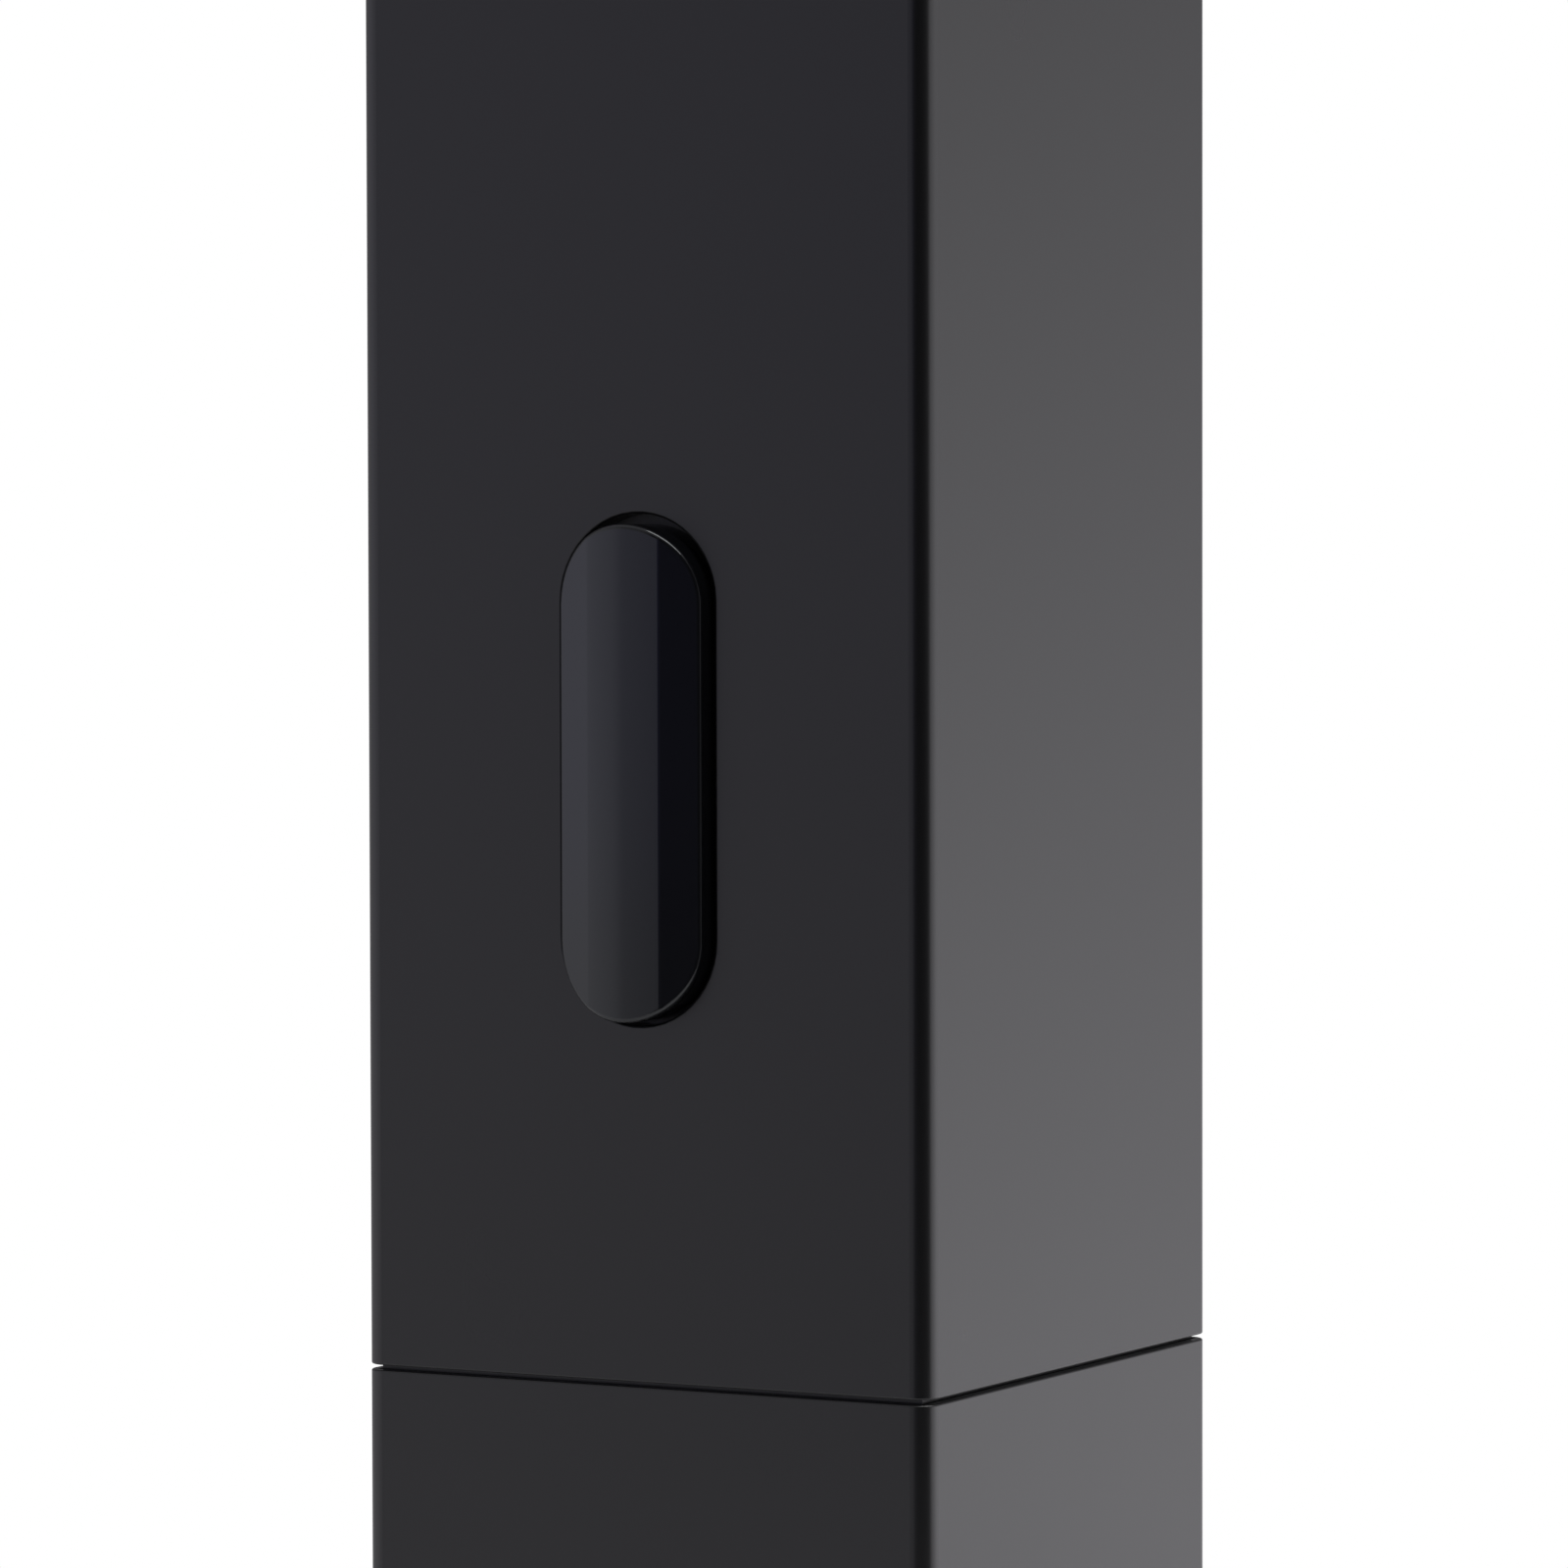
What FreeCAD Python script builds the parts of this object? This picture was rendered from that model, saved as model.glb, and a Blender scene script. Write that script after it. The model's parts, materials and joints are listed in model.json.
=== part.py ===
import FreeCAD, Part
import math
import os
import Sketcher

# A slim square column air purifier. Origin: the middle of the rubber pad's underside, on the table.
# +Z is up the column, the power button is on the -Y face, the USB socket on the +Y face.
# From the table up: base with intake slots and filter, seam, main unit with button, battery and fan, outlet grille.

DIMENSIONS = [
    ("side", 46, "width and depth of the column"),
    ("wall", 2, "casing wall"),
    ("edge_radius", 1.5, "long vertical edges"),
    ("seam_radius", 0.14, "edges on both sides of the seam"),
    ("skirt_size", 44, "skirt of the housing behind the seam, outside"),
    ("skirt_bottom", 57.5, "lower edge of the skirt"),
    ("rebate_size", 44.6, "rebate in the base that the skirt drops into"),
    ("rebate_bottom", 57, "floor of the rebate"),
    ("rim_radius", 0.8, "outer edge of the open top"),
    ("total_height", 196, "table to top rim"),
    ("base_bottom", 0.8, "underside of the base shell"),
    ("base_top", 57.93, "lower side of the seam"),
    ("housing_bottom", 58.3, "upper side of the seam"),
    ("pad_size", 38, "rubber pad, side"),
    ("pad_thickness", 1.2, "rubber pad"),
    ("plate_top", 3.2, "upper face of the base plate"),
    ("plate_size", 41.8, "base plate, side"),
    ("spigot_size", 41.4, "collar that plugs into the main unit"),
    ("spigot_bottom", 54, "where the collar starts inside the base shell"),
    ("spigot_top", 61.4, "top of the collar"),
    ("throat_size", 38.6, "opening that the filter passes through"),
    ("post_reach", 16.9, "corner post axis from the column axis, both ways"),
    ("post_radius", 2.6, "corner post"),
    ("post_top", 61, "top of the corner posts"),
    ("magnet_radius", 2, "coupling magnet"),
    ("magnet_height", 2, "coupling magnet"),
    ("magnet_play", 0.05, "radial gap round a magnet"),
    ("slot_count", 9, "intake slots on each face"),
    ("slot_pitch", 3, "intake slot spacing"),
    ("slot_width", 1.5, "intake slot"),
    ("slot_bottom", 10, "lower end of the intake slots"),
    ("slot_top", 41, "upper end of the intake slots"),
    ("cartridge_size", 36, "filter cartridge, side"),
    ("cartridge_radius", 12, "filter cartridge, corner"),
    ("cartridge_bottom", 5.3, "underside of the cartridge"),
    ("cartridge_top", 60.3, "top of the upper cap"),
    ("cap_plate", 1.5, "thickness of a cap's plate"),
    ("cap_rim", 1.2, "thickness of a cap's rim"),
    ("cap_depth", 3.5, "height of a cap"),
    ("media_size", 33.3, "pleated media over its outer folds"),
    ("media_radius", 10.7, "corner of the media's outer folds"),
    ("pleat_depth", 4.4, "pleat, fold to fold"),
    ("pleat_count", 50, "pleats round the cartridge"),
    ("paper_step", 1.2, "pleat wall measured across the ring"),
    ("core_size", 23.2, "carbon core, outer side"),
    ("core_hole", 19.2, "carbon core, inner side"),
    ("button_height", 101.45, "middle of the button above the table"),
    ("button_length", 35.1, "button cap"),
    ("button_width", 11.4, "button cap"),
    ("button_proud", 2.5, "crest of the button above the face"),
    ("button_crest", 2.9, "half width of the button's crowned middle"),
    ("button_crown", 0.35, "rise of the crown over the crest's edges"),
    ("button_shoulder", 1.1, "button's long edge above the face"),
    ("crest_radius", 1.1, "rounding between the crest and a slope"),
    ("button_edge", 0.35, "rounding of the button's outline"),
    ("pocket_height", 101.65, "middle of the button pocket above the table"),
    ("pocket_length", 36.2, "button pocket"),
    ("pocket_width", 12.4, "button pocket"),
    ("pocket_radius", 0.2, "rim of the button pocket"),
    ("flange_gap", 0.3, "casing wall to the button's flange at rest"),
    ("flange_thickness", 1, "retaining flange"),
    ("flange_lip", 2.3, "flange length and width beyond the pocket"),
    ("plunger_reach", 4.3, "switch plunger's tip from the board's face"),
    ("board_front", 14.6, "main board's front face from the column axis"),
    ("board_thickness", 1.6, "circuit boards"),
    ("board_width", 26, "main board"),
    ("board_bottom", 76, "main board, lower end"),
    ("board_top", 140, "main board, upper end"),
    ("board_screw_reach", 11, "board screws beside the middle plane"),
    ("board_screw_low", 79, "lower board screws"),
    ("board_screw_high", 137.5, "upper board screws"),
    ("duct_front", 10.8, "duct's front wall from the column axis"),
    ("duct_rear", 12.6, "duct's rear wall from the column axis"),
    ("duct_width", 28.4, "duct, outside"),
    ("duct_wall", 1.2, "duct wall"),
    ("plenum_bottom", 160.8, "underside of the fan plenum"),
    ("plenum_floor", 162, "floor of the plenum's bore"),
    ("plenum_top", 176.5, "top of the plenum"),
    ("plenum_size", 41.4, "plenum, side"),
    ("plenum_bore", 18.8, "plenum bore, radius"),
    ("bulkhead_bottom", 62.2, "bulkhead underside"),
    ("bulkhead_top", 65, "bulkhead upper face"),
    ("bulkhead_size", 41.6, "bulkhead, side"),
    ("inlet_width", 24.4, "air opening in the bulkhead, X"),
    ("inlet_depth", 19.4, "air opening in the bulkhead, Y"),
    ("duct_recess", 0.8, "depth that the duct's end sinks into the bulkhead"),
    ("duct_play", 0.1, "gap round the duct's end"),
    ("guard_count", 5, "bars across the air opening"),
    ("guard_pitch", 4.1, "guard bar spacing"),
    ("guard_bar", 1.1, "guard bar, square"),
    ("guard_play", 0.05, "gap beside a guard bar"),
    ("standoff_across", 6.6, "standoff of the USB board beside the middle plane"),
    ("standoff_along", 17.5, "standoffs of the USB board behind the column axis"),
    ("standoff_radius", 1.8, "standoff"),
    ("standoff_height", 2.6, "standoff above the bulkhead"),
    ("standoff_root_radius", 1.2, "standoff's root, pressed into the bulkhead"),
    ("standoff_root", 1.4, "depth of a standoff's root"),
    ("boss_across", 18.2, "housing boss beside the middle plane, X"),
    ("boss_along", 7.5, "housing boss beside the middle plane, Y"),
    ("boss_radius", 2.5, "housing boss"),
    ("boss_top", 73, "top of the housing bosses"),
    ("screw_radius", 0.95, "M2 screw shank"),
    ("screw_head", 1.8, "M2 screw head, radius"),
    ("screw_head_height", 1.1, "M2 screw head"),
    ("small_screw_radius", 0.75, "M1.6 screw shank"),
    ("small_screw_head", 1.4, "M1.6 screw head, radius"),
    ("screw_play", 0.05, "radial gap round a screw"),
    ("fan_size", 40, "fan frame, side"),
    ("fan_bottom", 177.3, "underside of the fan frame"),
    ("fan_height", 10, "fan frame"),
    ("fan_bore", 19, "fan bore, radius"),
    ("fan_hole_reach", 16, "fan hole from the column axis, both ways"),
    ("fan_hole", 2.15, "fan hole, radius"),
    ("fan_screw_radius", 1.4, "fan screw shank"),
    ("fan_screw_tip", 167, "lower end of the fan screws"),
    ("hub_radius", 10.6, "rotor hub"),
    ("hub_wall", 1, "rotor hub wall"),
    ("blade_tip", 18.5, "rotor blade tip, radius"),
    ("blade_count", 7, "rotor blades"),
    ("blade_thickness", 0.9, "rotor blade"),
    ("blade_sweep", 34, "turn of a blade from its foot to its top, degrees"),
    ("rotor_bottom", 178.2, "underside of the hub"),
    ("rotor_top", 184.9, "top of the hub's skirt"),
    ("shaft_radius", 1, "fan shaft"),
    ("bearing_play", 0.03, "radial running gap, shaft to bearing"),
    ("bearing_radius", 2.3, "fan bearing, outside"),
    ("tube_radius", 3.2, "bearing tube, outside"),
    ("grille_bottom", 192.6, "underside of the outlet grille"),
    ("grille_top", 195, "top of the outlet grille"),
    ("grille_size", 41.7, "outlet grille, side"),
    ("vent_count", 9, "outlet slots"),
    ("vent_pitch", 3.9, "outlet slot spacing"),
    ("vent_width", 2.3, "outlet slot"),
    ("vent_length", 35, "outlet slot"),
    ("ledge_bottom", 190.6, "underside of the ledge that carries the grille"),
    ("ledge_opening", 39.2, "opening inside the ledge"),
    ("usb_height", 70.9, "USB socket axis"),
    ("usb_width", 8.94, "USB socket shell"),
    ("usb_thickness", 3.26, "USB socket shell"),
    ("usb_shell_wall", 0.3, "USB socket shell"),
    ("usb_mouth", 22.3, "socket mouth from the column axis"),
    ("usb_back", 15, "back of the socket from the column axis"),
    ("usb_hole_play", 0.2, "casing hole round the socket"),
    ("cell_width", 34, "battery cell"),
    ("cell_bottom", 88.8, "battery cell, lower end"),
    ("cell_height", 62, "battery cell"),
    ("cell_front", 13.3, "battery cell's front face from the column axis"),
    ("cell_thickness", 6.7, "battery cell"),
    ("lead_radius", 0.4, "insulated wire"),
    ("lead_gap", 1, "spacing of the two wires of a pair"),
]

doc = FreeCAD.newDocument("column_air_purifier")
dims = doc.addObject("Spreadsheet::Sheet", "dims")
for row, (alias, number, note) in enumerate(DIMENSIONS, start=1):
    dims.set(f"A{row}", alias)
    dims.set(f"B{row}", str(number))
    dims.set(f"C{row}", note)
    dims.setAlias(f"B{row}", alias)
doc.recompute()

HALF = "dims.side / 2"
INNER = "(dims.side / 2 - dims.wall)"
INSIDE = "(dims.side - 2 * dims.wall)"
CORNERS = [(1, 1), (-1, 1), (-1, -1), (1, -1)]
nodes = []


def value(alias):
    """A driving dimension as a number, for shapes that no feature can bind."""
    return float(dims.get(alias))


def number(expression):
    """What an expression in the sheet's cells comes to."""
    return float(dims.evalExpression(str(expression)))


# ---------------------------------------------------------------- helpers: primitives

def node(piece, label):
    """Give a finished piece its name and list it for export."""
    piece.Label = label
    nodes.append(piece)
    return piece


def bind(item, **sizes):
    """Bind properties of an object to expressions in the sheet's cells."""
    for name, expression in sizes.items():
        item.setExpression(name, str(expression))


def place(item, x, y, z, turn=None):
    """Put an object at a bound position, after an optional turn (axis, degrees)."""
    if turn:
        item.Placement = FreeCAD.Placement(FreeCAD.Vector(), FreeCAD.Rotation(FreeCAD.Vector(*turn[0]), turn[1]))
    for axis, expression in zip("xyz", (x, y, z)):
        item.setExpression(f"Placement.Base.{axis}", str(expression))


def block(name, width, depth, height, x=0, y=0, z=0):
    """A box centred on x and y, standing on z."""
    box = doc.addObject("Part::Box", name)
    bind(box, Length=width, Width=depth, Height=height)
    place(box, f"{x} - ({width}) / 2", f"{y} - ({depth}) / 2", z)
    return box


def rod(name, radius, height, x=0, y=0, z=0, turn=None):
    """A cylinder from (x, y, z), up the column unless it is turned."""
    cylinder = doc.addObject("Part::Cylinder", name)
    bind(cylinder, Radius=radius, Height=height)
    place(cylinder, x, y, z, turn)
    return cylinder


# Turns that point a cylinder's length out of the front face and out of the rear face.
TO_FRONT = ((1, 0, 0), 90)
TO_REAR = ((1, 0, 0), -90)


def cut(name, base, *tools):
    """Base minus each tool."""
    for tool in tools:
        step = doc.addObject("Part::Cut", name)
        step.Base = base
        step.Tool = tool
        base = step
    return base


def fuse(name, *pieces):
    """One solid from overlapping or touching pieces."""
    joined = doc.addObject("Part::MultiFuse", name)
    joined.Shapes = list(pieces)
    joined.Refine = True
    return joined


def group(name, pieces):
    """Several separate solids that share one node."""
    bundle = doc.addObject("Part::Compound", name)
    bundle.Links = list(pieces)
    return bundle


def screw(name, reach, x, y, z):
    """An M2 screw driven upwards: its head starts at (x, y, z) and its tip lies 'reach' above that."""
    head_part = rod(name + "_head", "dims.screw_head", "dims.screw_head_height", x, y, z)
    shank_part = rod(name + "_shank", "dims.screw_radius", reach, x, y, z)
    return fuse(name, head_part, shank_part)


# ---------------------------------------------------------------- helpers: bodies and sketches

def new_body(label):
    """An empty PartDesign body, listed as a node."""
    return node(doc.addObject("PartDesign::Body", label), label)


def sketch_on(body, name, role, offset=0):
    """A sketch on one of the body's own origin planes, moved along the plane's normal."""
    plane = [item for item in body.Origin.OriginFeatures if item.Role == role][0]
    sketch = body.newObject("Sketcher::SketchObject", name)
    sketch.AttachmentSupport = [(plane, "")]
    sketch.MapMode = "FlatFace"
    sketch.setExpression("AttachmentOffset.Base.z", str(offset))
    return sketch


def locate(sketch, geometry, point, across, up):
    """Bind the distances of a point from the sketch's origin, which may be zero or negative."""
    for kind, expression in (("DistanceX", across), ("DistanceY", up)):
        distance = number(expression)
        index = sketch.addConstraint(Sketcher.Constraint(kind, -1, 1, geometry, point, distance))
        sketch.setExpression(f"Constraints[{index}]", str(expression))


def bind_radius(sketch, geometry, radius):
    """Bind the radius of a circle or an arc."""
    index = sketch.addConstraint(Sketcher.Constraint("Radius", geometry, number(radius)))
    sketch.setExpression(f"Constraints[{index}]", str(radius))


def rectangle(sketch, width, height, across=0, up=0):
    """A rectangle centred on (across, up), its two opposite corners bound to the sheet."""
    centre = FreeCAD.Vector(number(across), number(up), 0)
    reach_x, reach_y = number(width) / 2, number(height) / 2
    corner = [centre + FreeCAD.Vector(side_x * reach_x, side_y * reach_y, 0)
              for side_x, side_y in ((-1, -1), (1, -1), (1, 1), (-1, 1))]
    first = sketch.GeometryCount
    for index in range(4):
        sketch.addGeometry(Part.LineSegment(corner[index], corner[(index + 1) % 4]), False)
    for index in range(4):
        ends = (first + index, 2, first + (index + 1) % 4, 1)
        sketch.addConstraint(Sketcher.Constraint("Coincident", *ends))
    for index, kind in enumerate(("Horizontal", "Vertical", "Horizontal", "Vertical")):
        sketch.addConstraint(Sketcher.Constraint(kind, first + index))
    locate(sketch, first, 1, f"{across} - ({width}) / 2", f"{up} - ({height}) / 2")
    locate(sketch, first + 2, 1, f"{across} + ({width}) / 2", f"{up} + ({height}) / 2")


def rounded_square(sketch, size, radius):
    """A square with round corners about the sketch's origin, its corner centres and radii bound to the sheet."""
    first = sketch.GeometryCount
    bend = number(radius)
    reach = number(size) / 2 - bend
    for index, (side_x, side_y) in enumerate(CORNERS):
        corner = Part.Circle(FreeCAD.Vector(side_x, side_y, 0) * reach, FreeCAD.Vector(0, 0, 1), bend)
        sketch.addGeometry(Part.ArcOfCircle(corner, index * math.pi / 2, (index + 1) * math.pi / 2), False)
    for index, (side_x, side_y) in enumerate(CORNERS):
        next_x, next_y = CORNERS[(index + 1) % 4]
        out = FreeCAD.Vector(side_x + next_x, side_y + next_y, 0) * (bend / 2)
        start = FreeCAD.Vector(side_x, side_y, 0) * reach + out
        end = FreeCAD.Vector(next_x, next_y, 0) * reach + out
        sketch.addGeometry(Part.LineSegment(start, end), False)
    for index in range(4):
        line = first + 4 + index
        sketch.addConstraint(Sketcher.Constraint("Tangent", first + index, 2, line, 1))
        sketch.addConstraint(Sketcher.Constraint("Tangent", line, 2, first + (index + 1) % 4, 1))
    for index, (side_x, side_y) in enumerate(CORNERS):
        bind_radius(sketch, first + index, radius)
        inset = f"(({size}) / 2 - ({radius}))"
        locate(sketch, first + index, 3, f"{side_x} * {inset}", f"{side_y} * {inset}")


def circle(sketch, radius, across=0, up=0):
    """A circle whose centre and radius are bound to the sheet."""
    centre = FreeCAD.Vector(number(across), number(up), 0)
    first = sketch.addGeometry(Part.Circle(centre, FreeCAD.Vector(0, 0, 1), number(radius)), False)
    bind_radius(sketch, first, radius)
    locate(sketch, first, 3, across, up)


def stadium(sketch, length, width, across=0, up=0, upright=True):
    """A slot with round ends, its two end centres and its radius bound to the sheet."""
    way = FreeCAD.Vector(0, 1, 0) if upright else FreeCAD.Vector(-1, 0, 0)
    side = FreeCAD.Vector(1, 0, 0) if upright else FreeCAD.Vector(0, 1, 0)
    start_angle = 0 if upright else math.pi / 2
    centre = FreeCAD.Vector(number(across), number(up), 0)
    bend = number(width) / 2
    run = number(length) / 2 - bend
    far, near = centre + way * run, centre - way * run
    first = sketch.GeometryCount
    for end, angle in ((far, start_angle), (near, start_angle + math.pi)):
        arc = Part.ArcOfCircle(Part.Circle(end, FreeCAD.Vector(0, 0, 1), bend), angle, angle + math.pi)
        sketch.addGeometry(arc, False)
    sketch.addGeometry(Part.LineSegment(far - side * bend, near - side * bend), False)
    sketch.addGeometry(Part.LineSegment(near + side * bend, far + side * bend), False)
    for one, other in ((0, 2), (2, 1), (1, 3), (3, 0)):
        sketch.addConstraint(Sketcher.Constraint("Tangent", first + one, 2, first + other, 1))
    bind_radius(sketch, first, f"({width}) / 2")
    reach = f"(({length}) - ({width})) / 2"
    if upright:
        locate(sketch, first, 3, across, f"{up} + {reach}")
        locate(sketch, first + 1, 3, across, f"{up} - {reach}")
    else:
        locate(sketch, first, 3, f"{across} - {reach}", up)
        locate(sketch, first + 1, 3, f"{across} + {reach}", up)


def pad(body, sketch, length, back=False):
    """Add material along the sketch's normal, or against it."""
    feature = body.newObject("PartDesign::Pad", sketch.Name + "_pad")
    feature.Profile = sketch
    feature.Reversed = back
    bind(feature, Length=length)
    sketch.Visibility = False
    doc.recompute()
    return feature


def pocket(body, sketch, length, forward=False, both_ways=False):
    """Remove material against the sketch's normal, along it, or both ways, and check that it cuts."""
    before = body.Shape.Volume
    feature = body.newObject("PartDesign::Pocket", sketch.Name + "_pocket")
    feature.Profile = sketch
    feature.Reversed = forward
    feature.Midplane = both_ways
    bind(feature, Length=length)
    doc.recompute()
    if body.Shape.Volume > before - 0.01:
        raise RuntimeError(f"{feature.Name} cuts nothing: {feature.State}")
    return feature


def pattern(body, feature, sketch, axis, length, count):
    """Repeat a feature in a row along one of its sketch's axes."""
    before = body.Shape.Volume
    row = body.newObject("PartDesign::LinearPattern", feature.Name + "_row")
    row.Originals = [feature]
    row.Direction = (sketch, [axis])
    bind(row, Length=length, Occurrences=count)
    body.Tip = row
    doc.recompute()
    if abs(body.Shape.Volume - before) < 0.01:
        raise RuntimeError(f"{row.Name} repeats nothing")
    return row


def edges_where(feature, test):
    """Names of the edges whose bounding box passes a test."""
    names = []
    for index, edge in enumerate(feature.Shape.Edges, start=1):
        if test(edge.BoundBox):
            names.append(f"Edge{index}")
    return names


def fillet(body, names, radius):
    """Round the named edges of the body's tip."""
    base = body.Tip
    feature = body.newObject("PartDesign::Fillet", body.Name + "_round")
    feature.Base = (base, names)
    bind(feature, Radius=radius)
    body.Tip = feature
    doc.recompute()
    if not feature.Shape.isValid():
        raise RuntimeError(f"{feature.Name} can't be rounded")
    return feature


def level_edges(feature, height, reach):
    """Edges that lie in one level and reach the outer faces of a square."""
    def outer(box):
        level = abs(box.ZMin - height) < 1e-4 and abs(box.ZMax - height) < 1e-4
        far = max(abs(box.XMin), abs(box.XMax), abs(box.YMin), abs(box.YMax))
        return level and far > reach - 2.0
    return edges_where(feature, outer)


def square_pad(body, name, size, bottom, top, radius=None):
    """A square plate or column, with round vertical edges where a radius is given."""
    outline = sketch_on(body, name, "XY_Plane", bottom)
    if radius:
        rounded_square(outline, size, radius)
    else:
        rectangle(outline, size, size)
    return pad(body, outline, f"({top}) - ({bottom})")


def square_hole(body, name, size, bottom, top, radius=None):
    """A square hole from bottom to top, with round corners where a radius is given."""
    outline = sketch_on(body, name, "XY_Plane", bottom)
    if radius:
        rounded_square(outline, size, radius)
    else:
        rectangle(outline, size, size)
    return pocket(body, outline, f"({top}) - ({bottom})", forward=True)


def four_circles(body, name, radius, reach_x, reach_y, bottom):
    """A level sketch with one circle in each corner."""
    outline = sketch_on(body, name, "XY_Plane", bottom)
    for side_x, side_y in CORNERS:
        circle(outline, radius, f"{side_x} * ({reach_x})", f"{side_y} * ({reach_y})")
    return outline


def corner_holes(body, name, radius, reach_x, reach_y, bottom, top):
    """Four round holes, one in each corner, from bottom to top."""
    outline = four_circles(body, name, radius, reach_x, reach_y, bottom)
    return pocket(body, outline, f"({top}) - ({bottom})", forward=True)


# ---------------------------------------------------------------- base section

def base_shell():
    """The lower casing: slotted walls, a collar that plugs into the main unit, a rebate and four corner posts."""
    body = new_body("base_shell")
    outer = square_pad(body, "shell_outline", "dims.side", "dims.base_bottom", "dims.base_top", "dims.edge_radius")
    rims = level_edges(outer, value("base_top"), value("side") / 2)
    rims += level_edges(outer, value("base_bottom"), value("side") / 2)
    fillet(body, rims, "dims.seam_radius")
    square_pad(body, "collar_outline", "dims.spigot_size", "dims.spigot_bottom", "dims.spigot_top")
    rebate = sketch_on(body, "rebate_ring", "XY_Plane", "dims.rebate_bottom")
    rectangle(rebate, "dims.rebate_size", "dims.rebate_size")
    rectangle(rebate, "dims.spigot_size", "dims.spigot_size")
    pocket(body, rebate, "dims.base_top - dims.rebate_bottom + 1", forward=True)
    square_hole(body, "cavity", INSIDE, "dims.base_bottom - 1", "dims.spigot_bottom")
    square_hole(body, "throat", "dims.throat_size", "dims.base_bottom", "dims.spigot_top + 1")
    posts = four_circles(body, "posts", "dims.post_radius", "dims.post_reach", "dims.post_reach", "dims.plate_top")
    pad(body, posts, "dims.post_top - dims.plate_top")
    webs = sketch_on(body, "post_webs", "XY_Plane", "dims.plate_top")
    web_size = f"({INNER} + 0.2 - dims.post_reach)"
    for side_x, side_y in CORNERS:
        middle = f"(dims.post_reach + {web_size} / 2)"
        rectangle(webs, web_size, web_size, f"{side_x} * {middle}", f"{side_y} * {middle}")
    pad(body, webs, "dims.base_top - dims.plate_top - 1")
    corner_holes(body, "magnet_seats", "dims.magnet_radius + dims.magnet_play", "dims.post_reach",
                 "dims.post_reach", "dims.post_top - dims.magnet_height", "dims.post_top + 1")
    corner_holes(body, "screw_holes", "dims.screw_radius + dims.screw_play", "dims.post_reach",
                 "dims.post_reach", "dims.plate_top - 1", "dims.plate_top + 6")
    for face, role in (("front", "XZ_Plane"), ("side", "YZ_Plane")):
        slot = sketch_on(body, face + "_slot", role)
        first = "-dims.slot_pitch * (dims.slot_count - 1) / 2"
        length = "(dims.slot_top - dims.slot_bottom)"
        stadium(slot, length, "dims.slot_width", first, "(dims.slot_top + dims.slot_bottom) / 2")
        opening = pocket(body, slot, "dims.side + 2", both_ways=True)
        pattern(body, opening, slot, "H_Axis", "dims.slot_pitch * (dims.slot_count - 1)", "dims.slot_count")


def base_plate():
    """The bottom plate, screwed up into the corner posts and covered by the rubber pad."""
    body = new_body("base_plate")
    square_pad(body, "plate_outline", "dims.plate_size", "dims.pad_thickness", "dims.plate_top", "0.8")
    corner_holes(body, "plate_screw_holes", "dims.screw_radius + dims.screw_play", "dims.post_reach",
                 "dims.post_reach", "dims.pad_thickness - 1", "dims.plate_top + 1")
    corner_holes(body, "plate_head_recesses", "dims.screw_head + dims.screw_play", "dims.post_reach",
                 "dims.post_reach", "dims.pad_thickness - 1", "dims.pad_thickness + dims.screw_head_height + 0.05")


def rubber_pad():
    """The foot: one soft square pad with three ring grooves in its underside."""
    body = new_body("rubber_pad")
    plate = square_pad(body, "pad_outline", "dims.pad_size", "0", "dims.pad_thickness", "5")
    fillet(body, level_edges(plate, 0, value("pad_size") / 2), "0.3")
    for index in range(3):
        ring = sketch_on(body, f"groove_{index}", "XY_Plane", "-1")
        circle(ring, f"6 + {index} * 4")
        circle(ring, f"7 + {index} * 4")
        pocket(body, ring, "1.4", forward=True)


def base_screws():
    """Four screws that hold the base plate to the posts."""
    pieces = []
    for index, (side_x, side_y) in enumerate(CORNERS):
        x, y = f"{side_x} * dims.post_reach", f"{side_y} * dims.post_reach"
        pieces.append(screw(f"base_screw_{index}", "7", x, y, "dims.pad_thickness + 0.05"))
    node(group("base_screws", pieces), "base_screws")


def seat_gasket():
    """The foam ring that the cartridge stands on."""
    body = new_body("seat_gasket")
    square_pad(body, "seat_outline", "30", "dims.plate_top", "dims.cartridge_bottom - 0.3", "8")
    square_hole(body, "seat_hole", "18", "dims.plate_top - 1", "dims.cartridge_bottom")


def prefilter_panels():
    """Four fine mesh panels behind the intake slots."""
    thickness, width, height = "0.5", "26", "40"
    middle = f"({INNER} - 0.05 - {thickness} / 2)"
    pieces = []
    for index, (side_x, side_y) in enumerate(((1, 0), (0, 1), (-1, 0), (0, -1))):
        sizes = (thickness, width) if side_x else (width, thickness)
        pieces.append(block(f"mesh_{index}", *sizes, height, f"{side_x} * {middle}", f"{side_y} * {middle}", "6"))
    node(group("prefilter_panels", pieces), "prefilter_panels")


def magnets(label, bottom):
    """Four disc magnets, one over each corner post."""
    pieces = []
    for index, (side_x, side_y) in enumerate(CORNERS):
        x, y = f"{side_x} * dims.post_reach", f"{side_y} * dims.post_reach"
        pieces.append(rod(f"{label}_{index}", "dims.magnet_radius", "dims.magnet_height", x, y, bottom))
    node(group(label, pieces), label)


# ---------------------------------------------------------------- filter cartridge

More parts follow.
